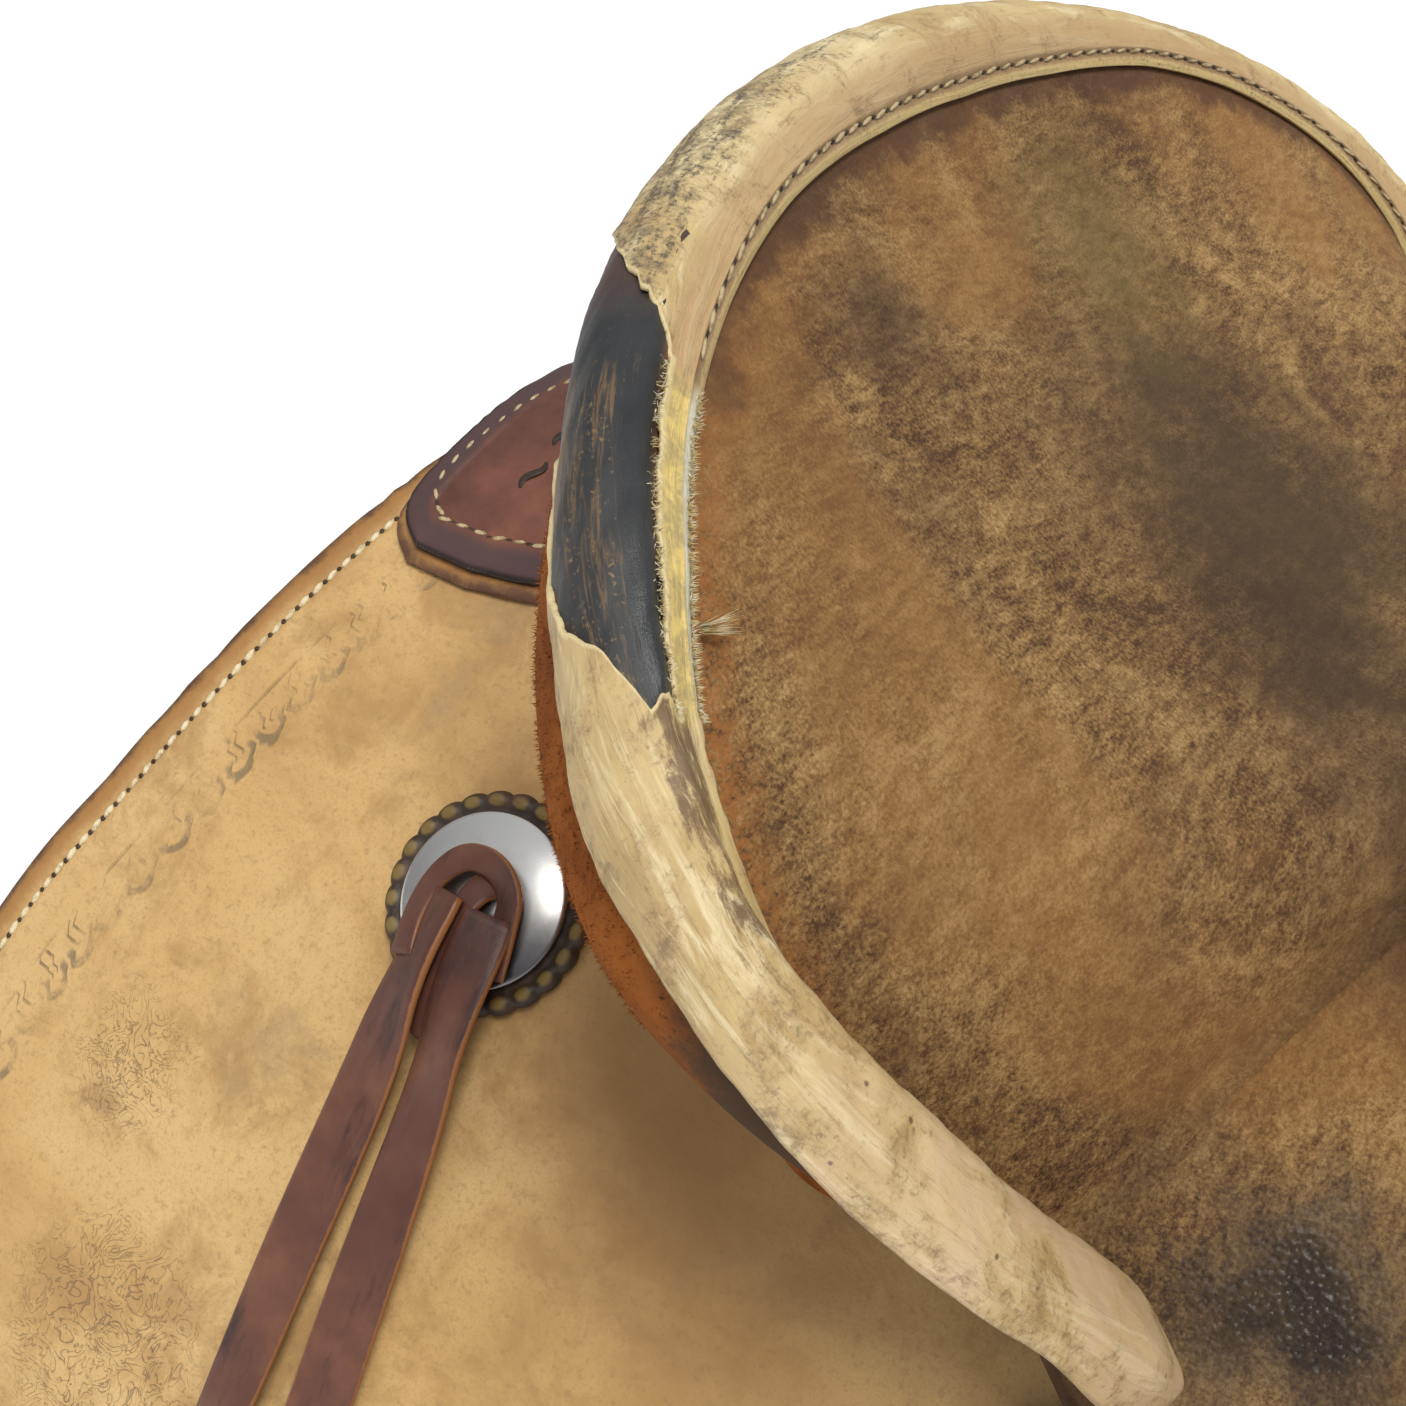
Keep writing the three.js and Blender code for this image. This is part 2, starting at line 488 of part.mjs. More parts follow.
// The outline of a strap that follows a path, loops round the stirrup bolt and comes back up.
function strapOutline(thick) {
  const h = 10;
  const boltY = -STIRRUP.y;
  const down = pathAt([...hangingPath(h).slice(0, -1), [boltY + 7, -432]]).getPoints(22).map((p) => [p.x, p.y]);
  const loop = [];
  const r = BOLT.radius + 1.6 + thick / 2;
  for (let k = 1; k <= 8; k++) loop.push([boltY + r * Math.cos((-k * Math.PI) / 8), BOLT.z + r * Math.sin((-k * Math.PI) / 8)]);
  const centre = [...down, [boltY + r, BOLT.z + 6], [boltY + r, BOLT.z], ...loop, [boltY - r, -440]];
  const sideways = (d) =>
    centre.map(([y, z], k) => {
      const [a, b] = [centre[Math.max(0, k - 1)], centre[Math.min(centre.length - 1, k + 1)]];
      const n = new THREE.Vector2(b[1] - a[1], a[0] - b[0]).normalize();
      return [y + n.x * d, z + n.y * d];
    });
  return [...sideways(thick / 2), ...sideways(-thick / 2).reverse()];
}
const flipped = (outline, side) => outline.map(([y, z]) => [-side * y, z]);
const counter = (outline) =>
  outline.reduce((s, [y, z], k) => s + y * outline[(k + 1) % outline.length][1] - z * outline[(k + 1) % outline.length][0], 0) < 0
    ? [...outline].reverse()
    : outline;

function stirrupShape() {
  const outer = [[-45, 12], [45, 12], [52, -30], [70, -96], [72, -118], [60, -128], [-60, -128], [-72, -118], [-70, -96], [-52, -30]];
  const inner = [[-35.5, -8], [-42, -32], [-60, -96], [-58, -112], [58, -112], [60, -96], [42, -32], [35.5, -8], [35.5, 20], [-35.5, 20]];
  return [outer, inner];
}
// An outline in the XZ plane, extruded along Y about a centre.
function deep(outline, y, wide) {
  const shape = new THREE.Shape(outline.map(([x, z]) => new THREE.Vector2(x, z)));
  const geometry = new THREE.ExtrudeGeometry(shape, { depth: wide, bevelEnabled: false });
  return tidy(geometry.rotateX(Math.PI / 2).translate(PIVOT.x, y + wide / 2, BOLT.z));
}
for (const [hand, side] of SIDES) {
  add(`fender_${hand}`, slab(4, 13, fenderSheet(side, FENDER_LIFT + FENDER_THICK), fenderSheet(side, FENDER_LIFT)), TAN);
  add(`stirrup_leather_${hand}`, across(counter(flipped(strapOutline(3.4), side)), PIVOT.x - STRAP / 2, STRAP), TAN);
  const [outer, inner] = stirrupShape();
  const block = solid(deep(outer, side * STIRRUP.y, STIRRUP.wide));
  const opening = solid(deep(inner.reverse(), side * STIRRUP.y, STIRRUP.wide + 10));
  add(`stirrup_${hand}`, meshed(block.subtract(opening)), WOOD);
  const bolt = new THREE.CylinderGeometry(BOLT.radius, BOLT.radius, 70.2, 12).rotateZ(Math.PI / 2);
  add(`stirrup_bolt_${hand}`, tidy(bolt.translate(PIVOT.x, side * STIRRUP.y, BOLT.z)), STEEL);
  const keeper = (wide, thick, z, tall) => solid(new THREE.BoxGeometry(wide, thick, tall).translate(PIVOT.x, side * STIRRUP.y, z));
  add(`hobble_strap_${hand}`, meshed(keeper(STRAP + 5.4, 29, -424, 18).subtract(keeper(STRAP + 1, 22, -424, 22))), DARK);
}

export default saddle;
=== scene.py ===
"""A worn western stock saddle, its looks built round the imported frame.

Metres, +X to the horse's head, +Z up; the off side is -Y. Shapes are worked out in millimetres.
"""
import math

import bmesh
import bpy
import numpy as np
from mathutils import Matrix, Vector


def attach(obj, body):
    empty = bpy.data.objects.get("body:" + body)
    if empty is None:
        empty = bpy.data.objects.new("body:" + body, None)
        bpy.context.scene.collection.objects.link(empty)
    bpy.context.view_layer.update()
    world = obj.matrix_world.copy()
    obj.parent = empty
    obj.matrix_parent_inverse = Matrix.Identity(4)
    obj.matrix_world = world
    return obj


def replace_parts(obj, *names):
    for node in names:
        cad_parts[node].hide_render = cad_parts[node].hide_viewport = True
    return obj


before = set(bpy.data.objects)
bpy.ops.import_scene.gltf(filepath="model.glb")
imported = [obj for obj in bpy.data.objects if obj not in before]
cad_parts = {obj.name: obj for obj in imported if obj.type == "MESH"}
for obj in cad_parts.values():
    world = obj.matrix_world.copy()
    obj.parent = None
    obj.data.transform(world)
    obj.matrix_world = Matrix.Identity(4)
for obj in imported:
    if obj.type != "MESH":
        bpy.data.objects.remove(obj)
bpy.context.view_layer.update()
mm = 0.001

# ---------- camera ----------
# It stands beside the seat at the off side, about 0.3 m from the cantle's binding.
# It looks back and down at the binding; the skirt's rear edge and a string concho lie at the left.
AZIMUTH, ELEVATION, ROLL = 0.534, 0.556, 0.100
AIM = Vector((-171.1, -104.3, 36.6)) * mm
DISTANCE = 0.3102
toward = Vector((
    math.sin(AZIMUTH) * math.cos(ELEVATION),
    -math.cos(AZIMUTH) * math.cos(ELEVATION),
    math.sin(ELEVATION),
))
level = Vector((math.cos(AZIMUTH), math.sin(AZIMUTH), 0))
steep = toward.cross(level)
right = level * math.cos(ROLL) + steep * math.sin(ROLL)
above = toward.cross(right)
camera = bpy.data.objects.new("camera", bpy.data.cameras.new("camera"))
camera.data.sensor_width = 36
camera.data.lens = 45.3
camera.data.clip_start = 0.02
camera.matrix_world = Matrix((right, above, toward)).transposed().to_4x4()
camera.location = AIM + toward * DISTANCE
bpy.context.scene.collection.objects.link(camera)
bpy.context.scene.camera = camera

# ---------- the horse's back ----------
# The skirts, sheepskins, plate, rosettes and strings all lie on one saddle-shaped surface.
# It rises towards both ends and falls away at the sides; y = 0 is the horse's spine.


def back_height(x, y):
    bend = np.sqrt(y * y + 55**2) - 55
    return 25 + 16 * (x / 330) ** 2 - 1.1 * bend - y**4 / (4 * 230**3)


def back_normal(x, y):
    slope_x = (back_height(x + 1, y) - back_height(x - 1, y)) / 2
    slope_y = (back_height(x, y + 1) - back_height(x, y - 1)) / 2
    n = np.stack([-slope_x, -slope_y, np.ones_like(slope_x)], -1)
    return n / np.linalg.norm(n, axis=-1, keepdims=True)


def on_back(x, y, h):
    """Points h above the skirts' outer face; everything in millimetres."""
    x, y, h = np.broadcast_arrays(*(np.asarray(v, float) for v in (x, y, h)))
    return np.stack([x, y, back_height(x, y)], -1) + back_normal(x, y) * h[..., None]


def smooth_line(points, count):
    """Catmull-Rom through the points, sampled count times."""
    p = np.asarray(points, float)
    p = np.vstack([2 * p[0] - p[1], p, 2 * p[-1] - p[-2]])
    s = np.linspace(0, len(p) - 3 - 1e-9, count)
    k = s.astype(int)
    t = (s - k)[:, None]
    a, b, c, d = p[k], p[k + 1], p[k + 2], p[k + 3]
    return 0.5 * (2 * b + (c - a) * t + (2 * a - 5 * b + 4 * c - d) * t**2 + (3 * b - a - 3 * c + d) * t**3)


def mesh_piece(name, verts, faces, paint, body="saddle", smooth=True):
    """A mesh in millimetres becomes a named piece that rides on a body."""
    data = bpy.data.meshes.new(name)
    data.from_pydata((np.asarray(verts) * mm).tolist(), [], faces)
    data.materials.append(paint)
    data.polygons.foreach_set("use_smooth", [smooth] * len(data.polygons))
    piece = bpy.data.objects.new(name, data)
    bpy.context.scene.collection.objects.link(piece)
    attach(piece, body)
    return piece


def grid_faces(rows, columns, wrap_rows=False, wrap_columns=False):
    """Quads of a grid of rows by columns points."""
    last_row, last_column = rows - (not wrap_rows), columns - (not wrap_columns)
    i, j = np.meshgrid(np.arange(last_row), np.arange(last_column), indexing="ij")
    i2, j2 = (i + 1) % rows, (j + 1) % columns
    quads = np.stack([i * columns + j, i2 * columns + j, i2 * columns + j2, i * columns + j2], -1)
    return quads.reshape(-1, 4).tolist()


def note(piece, name, values):
    """Stores one number at each point for a material to read."""
    made = piece.data.attributes.new(name, "FLOAT", "POINT")
    made.data.foreach_set("value", np.asarray(values, np.float32).ravel())


def capped_tube(rings, turns):
    """Faces of a tube of rings of points, closed at both ends."""
    last = rings * turns - 1
    return grid_faces(rings, turns, wrap_columns=True) + [
        list(range(turns)), list(range(last, last - turns, -1))
    ]


def close_sheet(top, bottom):
    """Verts and quads of a solid between two grids of the same size."""
    rows, columns = top.shape[:2]
    verts = np.vstack([top.reshape(-1, 3), bottom.reshape(-1, 3)])
    faces = grid_faces(rows, columns)
    off = rows * columns
    faces += [[off + q for q in reversed(f)] for f in faces]
    for i in range(rows - 1):
        a, b = i * columns, (i + 1) * columns
        faces.append([b, a, off + a, off + b])
        faces.append([a + columns - 1, b + columns - 1, off + b + columns - 1, off + a + columns - 1])
    for j in range(columns - 1):
        a = j
        b = (rows - 1) * columns + j
        faces.append([a, a + 1, off + a + 1, off + a])
        faces.append([b + 1, b, off + b, off + b + 1])
    return verts, faces


def outward(piece):
    """Turns a closed mesh's faces outwards."""
    work = bmesh.new()
    work.from_mesh(piece.data)
    bmesh.ops.remove_doubles(work, verts=work.verts, dist=1e-6)
    bmesh.ops.recalc_face_normals(work, faces=work.faces)
    work.to_mesh(piece.data)
    work.free()
    return piece


class Finish:
    """A node material: colour, gloss and relief built up from a few plain operations."""

    def __init__(self, name, roughness=0.6, **sockets):
        self.material = bpy.data.materials.new(name)
        self.material.use_nodes = True
        self.tree = self.material.node_tree
        self.surface = self.tree.nodes["Principled BSDF"]
        self.surface.inputs["Roughness"].default_value = roughness
        for socket, value in sockets.items():
            self.surface.inputs[socket.replace("_", " ")].default_value = value
        self.place = self.node("ShaderNodeTexCoord").outputs["Object"]

    def node(self, kind, **settings):
        made = self.tree.nodes.new(kind)
        for key, value in settings.items():
            setattr(made, key, value)
        return made

    def put(self, socket, value):
        if isinstance(value, bpy.types.NodeSocket):
            self.tree.links.new(value, socket)
        elif isinstance(value, tuple) and len(value) == 3 and socket.type == "RGBA":
            socket.default_value = (*value, 1)
        else:
            socket.default_value = value

    def noise(self, scale, detail=5, roughness=0.6, distortion=0, stretch=None, at=None):
        made = self.node("ShaderNodeTexNoise")
        where = at or self.place
        if stretch:
            turn = self.node("ShaderNodeMapping")
            self.put(turn.inputs["Vector"], where)
            turn.inputs["Scale"].default_value = stretch
            where = turn.outputs["Vector"]
        self.put(made.inputs["Vector"], where)
        made.inputs["Scale"].default_value = scale
        made.inputs["Detail"].default_value = detail
        made.inputs["Roughness"].default_value = roughness
        made.inputs["Distortion"].default_value = distortion
        return made.outputs["Fac"]

    def cells(self, scale, feature="F1"):
        made = self.node("ShaderNodeTexVoronoi", feature=feature)
        self.put(made.inputs["Vector"], self.place)
        made.inputs["Scale"].default_value = scale
        return made.outputs["Distance"]

    def ramp(self, amount, *stops):
        made = self.node("ShaderNodeValToRGB")
        self.put(made.inputs["Fac"], amount)
        bar = made.color_ramp.elements
        while len(bar) < len(stops):
            bar.new(0.5)
        for element, (where, colour) in zip(bar, stops):
            element.position = where
            element.color = (*colour, 1) if isinstance(colour, tuple) else (colour, colour, colour, 1)
        return made.outputs["Color"]

    def step(self, amount, low, high):
        """0 below low, 1 above high, smooth between; high below low turns it round."""
        made = self.node("ShaderNodeMapRange", interpolation_type="SMOOTHSTEP")
        self.put(made.inputs["Value"], amount)
        flip = high < low
        made.inputs["From Min"].default_value = high if flip else low
        made.inputs["From Max"].default_value = low if flip else high
        made.inputs["To Min"].default_value = 1 if flip else 0
        made.inputs["To Max"].default_value = 0 if flip else 1
        return made.outputs["Result"]

    def mix(self, amount, first, second, blend="MIX"):
        made = self.node("ShaderNodeMix", data_type="RGBA", blend_type=blend, clamp_factor=True)
        self.put(made.inputs[0], amount)
        self.put(made.inputs[6], first)
        self.put(made.inputs[7], second)
        return made.outputs[2]

    def math(self, operation, first, second=0.0, third=None):
        made = self.node("ShaderNodeMath", operation=operation)
        self.put(made.inputs[0], first)
        self.put(made.inputs[1], second)
        if third is not None:
            self.put(made.inputs[2], third)
        return made.outputs[0]

    def times(self, first, second):
        return self.math("MULTIPLY", first, second)

    def times_plus(self, first, factor, more):
        return self.math("MULTIPLY_ADD", first, factor, more)

    def gap(self, amount, centre):
        """How far the amount is from a centre, either way."""
        return self.math("ABSOLUTE", self.math("SUBTRACT", amount, centre))

    def over(self, base, where, share, colour):
        """Lays a share of a colour on the base wherever the mask says."""
        return self.mix(self.times(where, share), base, colour)

    def noted(self, name):
        return self.node("ShaderNodeAttribute", attribute_name=name).outputs["Fac"]

    def combine(self, x, y, z=0.0):
        made = self.node("ShaderNodeCombineXYZ")
        for socket, value in zip(made.inputs, (x, y, z)):
            self.put(socket, value)
        return made.outputs[0]

    def near(self, centre, radius, soft=0.5, wander=0.35, scale=60):
        """1 near a point of the saddle, fading out over a ragged edge; centre and radius in millimetres."""
        made = self.node("ShaderNodeVectorMath", operation="DISTANCE")
        self.put(made.inputs[0], self.place)
        made.inputs[1].default_value = tuple(c * mm for c in centre)
        reach = self.math("DIVIDE", made.outputs["Value"], radius * mm)
        inner = self.math("SUBTRACT", reach, wander)
        ragged = self.math("MULTIPLY_ADD", self.noise(scale, 6, 0.65), wander * 2, inner)
        return self.step(ragged, 1.0, 1.0 - soft)

    def coat_of(self, colour, relief=(), gloss=None):
        """Colour, then relief as (height, distance in mm, strength) from coarse to fine, then gloss."""
        self.put(self.surface.inputs["Base Color"], colour)
        normal = None
        for height, distance, strength in relief:
            made = self.node("ShaderNodeBump")
            self.put(made.inputs["Height"], height)
            made.inputs["Distance"].default_value = distance * mm
            made.inputs["Strength"].default_value = strength
            if normal:
                self.put(made.inputs["Normal"], normal)
            normal = made.outputs["Normal"]
        if normal:
            self.put(self.surface.inputs["Normal"], normal)
        if gloss is not None:
            self.put(self.surface.inputs["Roughness"], gloss)
        return self.material


# ---------- saddle strings ----------
# Two limp latigo tails leave each concho in a slit knot and hang down the skirt, then free.
# Each is a flat strip half an inch wide, slit from one piece of oiled leather with raw fuzzy edges.
STRING_WIDTH, STRING_THICK, STRING_FREE, HEM_Y = 13.0, 2.6, 150, 236
CONCHO_SPOTS = {"rear": (-219.5, 100.5), "cantle": (-66, 134), "front": (270, 152)}
TAILS = {"rear": (("a", 7, 14), ("b", -4, -2)), "cantle": (("a", 7, 8), ("b", -5, -8))}


def latigo():
    f = Finish("latigo_leather", 0.42, Specular_IOR_Level=0.45)
    wide = f.noise(45, 5, 0.6)
    streak = f.noise(120, 7, 0.7, stretch=(1, 0.25, 0.25))
    fine = f.noise(1500, 3, 0.6)
    body = f.ramp(
        wide, (0.3, (0.075, 0.027, 0.02)), (0.55, (0.13, 0.05, 0.032)), (0.75, (0.2, 0.085, 0.045))
    )
    body = f.mix(f.step(streak, 0.52, 0.72), body, (0.04, 0.018, 0.016))
    raw = f.times_plus(f.noise(500, 4, 0.7), 0.5, f.noted("edge"))
    body = f.mix(f.times(f.step(raw, 0.86, 1.1), 0.9), body, (0.30, 0.12, 0.038))
    return f.coat_of(body, ((streak, 0.5, 0.35), (fine, 0.12, 0.5)), f.times_plus(streak, 0.3, 0.28))


latigo_finish = latigo()


def blunt(value, power):
    """Squares a circle's sine or cosine off; the lower the power, the squarer."""
    return np.sign(value) * np.abs(value) ** power


def strip(name, centre, across, width, thick, paint, body="saddle"):
    """A flat leather strip with rounded edges along a line; across is the direction of its width."""
    ahead = np.gradient(centre, axis=0)
    ahead /= np.linalg.norm(ahead, axis=1, keepdims=True)
    across = across - (across * ahead).sum(1, keepdims=True) * ahead
    across /= np.linalg.norm(across, axis=1, keepdims=True)
    proud = np.cross(ahead, across)
    w = np.asarray(width) / 2 * np.ones(len(centre))
    turn = np.linspace(0, 2 * np.pi, 20, endpoint=False)
    u, v = blunt(np.cos(turn), 0.35), blunt(np.sin(turn), 0.7)
    ring = centre[:, None] + across[:, None] * (w[:, None, None] * u[None, :, None])
    ring = ring + proud[:, None] * (thick / 2 * v)[None, :, None]
    verts = ring.reshape(-1, 3)
    faces = capped_tube(len(centre), 20)
    piece = mesh_piece(name, verts, faces, paint, body)
    note(piece, "edge", np.tile(np.abs(u) ** 6, len(centre)))
    return outward(piece)


def tail_route(side, x, y, lean):
    """The same route as the frame's solid string, from the concho to the free end."""
    points = []
    for share, drop, h in ((0, 1, 13), (0.1, 14, 12.5), (0.25, 30, 8), (0.5, 60, 6), (0.8, 95, 6)):
        if y + drop < 220:
            points.append(on_back(x + lean * share, side * (y + drop), h))
    hem = on_back(x + lean, side * HEM_Y, 10)
    points.append(hem)
    for s in (0.15, 0.4, 0.7, 1):
        points.append(hem + np.array([0, side * 3 * math.sin(s * 1.6), -STRING_FREE * s]))
    return smooth_line(points, 90)


for hand, side in (("right", -1), ("left", 1)):
    for place, tails in TAILS.items():
        for letter, shift, lean in tails:
            x, y = CONCHO_SPOTS[place]
            route = tail_route(side, x + shift, y, lean)
            far = np.linspace(0, 1, len(route))
            seed = {"a": 0.4, "b": 2.1}[letter] + (0.9 if place == "cantle" else 0)
            twist = 0.55 * np.sin(far * 9 + seed) * np.clip(far * 6, 0, 1) + (
                0.5 if letter == "b" else -0.15
            )
            off = back_normal(route[:, 0], np.clip(route[:, 1], -225, 225))
            flat = np.cross(off, np.gradient(route, axis=0))
            flat /= np.linalg.norm(flat, axis=1, keepdims=True)
            across = flat * np.cos(twist)[:, None] + off * np.sin(twist)[:, None]
            name = f"string_{place}_{hand}_{letter}"
            width = STRING_WIDTH * (1 - 0.16 * np.exp(-far * 30)) * (1 - 0.3 * np.clip(far * 12 - 11, 0, 1))
            tail = strip(
                f"tail_{place}_{hand}_{letter}", route, across, width, STRING_THICK, latigo_finish,
            )
            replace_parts(tail, name)


# ---------- cantle binding ----------
# A strip of rawhide folded over the cantle's edge, sewn through both layers along the seat side.
# On the off side it has worn through, and its torn edges curl off the leather filler inside.
RIM_REAR, RIM_DEPTH, RIM_HALF, RIM_RAKE, RIM_TOP, RIM_SWEEP = -200, 102.5, 193.4, 0.698, 125.5, 1.988
RAWHIDE, BINDING_END = 1.7, 0.985
# The fold's section from its cut edge on the seat side, over the top, to its edge at the back.
FOLD = np.array([
    (-13.0, -6.4), (-12.7, -5.0), (-12.0, -2.6), (-11.2, 0.4), (-9.9, 4.4), (-7.0, 7.6), (-2.6, 9.3),
    (2.6, 9.2), (6.8, 7.3), (9.5, 3.7), (10.4, -0.4), (9.9, -4.6), (8.4, -8.4),
])
# The tear: fold and t along its upper and lower edges, t and fold along its two sides.
TEAR_UPPER = ((4.2, 5.3, 7.3, 9.4, 12), (-0.392, -0.374, -0.338, -0.286, -0.283))
TEAR_LOWER = (
    (4.3, 5.0, 5.8, 6.7, 7.5, 9.0, 10.4), (-0.582, -0.584, -0.574, -0.580, -0.553, -0.536, -0.500)
)
TEAR_INNER, TEAR_OUTER = 4.65, ((-0.6, -0.43, -0.415, -0.395), (10.5, 10.6, 11.2, 12.6))


def rim(t):
    """The cantle's rim; t runs from -1 at the off side's foot, over 0 at the top, to 1."""
    t = np.asarray(t, float)
    rise = 1 - np.cos(t * RIM_SWEEP)
    end = t**4
    x = RIM_REAR + RIM_DEPTH * rise - 15 * end
    y = RIM_HALF * np.sin(t * RIM_SWEEP) * (1 - 0.255 * end)
    return np.stack([x, y, RIM_TOP - RIM_RAKE * RIM_DEPTH * rise - 51.3 * end], -1)


def unit(v):
    return v / np.linalg.norm(v, axis=-1, keepdims=True)


def rim_frame(t):
    """Along the rim, out from the seat, and up off the rim."""
    t = np.asarray(t, float)
    along = unit(rim(t + 0.002) - rim(t - 0.002))
    out = unit(np.stack([-along[..., 1], along[..., 0], np.zeros_like(t)], -1))
    return along, out, unit(np.cross(along, out))


def off_rim(t, out, up):
    """Points off the rim in millimetres."""
    t, out, up = np.broadcast_arrays(*(np.asarray(v, float) for v in (t, out, up)))
    _, o, u = rim_frame(t)
    return rim(t) + o * out[..., None] + u * up[..., None]


def ease(v, low, high):
    """0 up to low, 1 from high on, smooth between; high below low turns it round."""
    s = np.clip((np.asarray(v, float) - low) / (high - low), 0, 1)
    return s * s * (3 - 2 * s)


def spline_at(points, t):
    """A smooth line through the points; t runs from 0 to 1."""
    p = np.asarray(points, float)
    p = np.vstack([p[:1], p, p[-1:]])
    s = np.clip(np.asarray(t, float), 0, 1) * (len(p) - 3)
    k = np.minimum(s.astype(int), len(p) - 4)
    w = (s - k)[..., None]
    a, b, c, d = p[k], p[k + 1], p[k + 2], p[k + 3]
    return 0.5 * (2 * b + (c - a) * w + (2 * a - 5 * b + 4 * c - d) * w**2 + (3 * b - a - 3 * c + d) * w**3)


def ripple(v, seed, waves):
    """A smooth ragged line: a few sines of unlike lengths, about -1 to 1."""
    v = np.asarray(v, float)
    total = sum(size * np.sin(rate * v + seed * (k + 1.7) * 2.3) for k, (rate, size) in enumerate(waves))
    return total / sum(size for _, size in waves)


def seam_tuck(t):
    """How far the seat side is drawn outwards along the rim."""
    places = (0.1, 0.3, 0.42, 0.5, 0.6, 0.7, 0.8, 0.88)
    return np.interp(np.abs(t), places, (0, 1.4, 2.2, 2.4, 4.8, 5.4, 2.4, 0.4))


def seam_lift(t):
    """How much higher the seam lies than at the ends."""
    places = (0, 0.1, 0.22, 0.32, 0.6, 0.72, 0.82, 0.92)
    return np.interp(np.abs(t), places, (2.6, 3.6, 6.4, 7.0, 6.4, 5.0, 2.6, 0.4))


def back_swell(t):
    """How far the back of the fold stands out: slimmer over the shoulders, full at the ends."""
    s = np.abs(t)
    return 4.4 * ease(s, 0.66, 0.92) - 2.0 * np.exp(-(((s - 0.48) / 0.16) ** 2))


def fold_at(t, fold):
    """The fold's section, out and up from the rim; near the ends it reaches less far down the back."""
    s = np.abs(t)
    short = 1.9 * ease(s, 0.56, 0.70) - 0.8 * ease(s, 0.90, 0.97)
    fold = fold - short * np.clip((fold - 8) / 4, 0, 1)
    p = spline_at(FOLD, fold / 12)
    seat_side = ease(fold, 6.6, 4.6)
    out = p[..., 0] + seam_tuck(t) * seat_side + back_swell(t) * ease(fold, 6.2, 8.6)
    drop = 0.55 * back_swell(t) * ease(fold, 9.5, 12) * (back_swell(t) > 0)
    up = p[..., 1] + seam_lift(t) * ease(fold, 4.6, 1.6) - drop
    up = up - 2.2 * np.exp(-(((s - 0.70) / 0.085) ** 2)) * ease(fold, 2.5, 4) * ease(fold, 9, 7)
    close = ease(s, 0.95, 1.03)
    return out * (1 - 0.22 * close), up * (1 - 0.5 * close) - 1.5 * close


def trimmed_end(t, fold):
    """The strip's ends are cut to a point on the seat side."""
    return t + np.sign(t) * ease(np.abs(t), 0.86, 1) * (0.030 - 0.0004 * (fold - 5.5) ** 2)


def torn_depth(t, fold):
    """Above 0 inside the tear; about the distance to its edge in millimetres."""
    jag = 0.004 * ripple(fold, 1.0, ((3.1, 0.6), (7.7, 0.7), (17, 0.8), (41, 0.6), (97, 0.3)))
    low_jag = 0.0036 * ripple(fold, 2.6, ((2.7, 0.6), (6.9, 0.7), (19, 0.8), (37, 0.6), (89, 0.3)))
    high = np.interp(fold, *TEAR_UPPER) + jag
    low = np.interp(fold, *TEAR_LOWER) + low_jag
    inner = TEAR_INNER + 0.10 * ripple(t * 100, 0.4, ((0.9, 1), (2.1, 0.8), (5.3, 0.6), (13, 0.5)))
    outer_jag = 0.07 * ripple(t * 100, 3.1, ((0.7, 1), (1.9, 0.8), (4.7, 0.5), (12, 0.5)))
    outer = np.interp(t, *TEAR_OUTER) + outer_jag
    along = np.minimum(t - low, high - t) * 360
    across = np.minimum(fold - inner, outer - fold) * 3.2
    return np.minimum(along, across)


def clipped_grid(values, keep_below=0.0):
    """Faces of a grid cut along a level line; new points are (share, first, second) along grid edges."""
    rows, columns = values.shape
    flat = values.ravel()
    kept = flat < keep_below
    faces, added, known = [], [], {}

    def crossing(p, q):
        key = (min(p, q), max(p, q))
        if key not in known:
            share = np.clip((keep_below - flat[key[0]]) / (flat[key[1]] - flat[key[0]]), 0.02, 0.98)
            known[key] = flat.size + len(added)
            added.append((share, *key))
        return known[key]

    for quad in grid_faces(rows, columns):
        inside = [kept[q] for q in quad]
        if all(inside):
            faces.append(quad)
        elif any(inside):
            ring = []
            for p, q in zip(quad, quad[1:] + quad[:1]):
                if kept[p]:
                    ring.append(p)
                if kept[p] != kept[q]:
                    ring.append(crossing(p, q))
            faces.append(ring)
    return faces, np.array(added)


def with_crossings(values, added):
    """The grid's values, then those at the added points."""
    flat = values.reshape(len(values) * len(values[0]), -1)
    share, first, second = added[:, :1], added[:, 1].astype(int), added[:, 2].astype(int)
    return np.vstack([flat, flat[first] * (1 - share) + flat[second] * share])


def walled(outer, inner, faces):
    """A solid between two layers that share one set of faces, with loose points dropped."""
    used = sorted({q for face in faces for q in face})
    place = {q: k for k, q in enumerate(used)}
    top = [[place[q] for q in face] for face in faces]
    count = len(used)
    edges = {(p, q) for face in top for p, q in zip(face, face[1:] + face[:1])}
    walls = [[q, p, p + count, q + count] for p, q in sorted(edges) if (q, p) not in edges]
    under = [[q + count for q in reversed(face)] for face in top]
    return np.vstack([outer[used], inner[used]]), top + under + walls, used


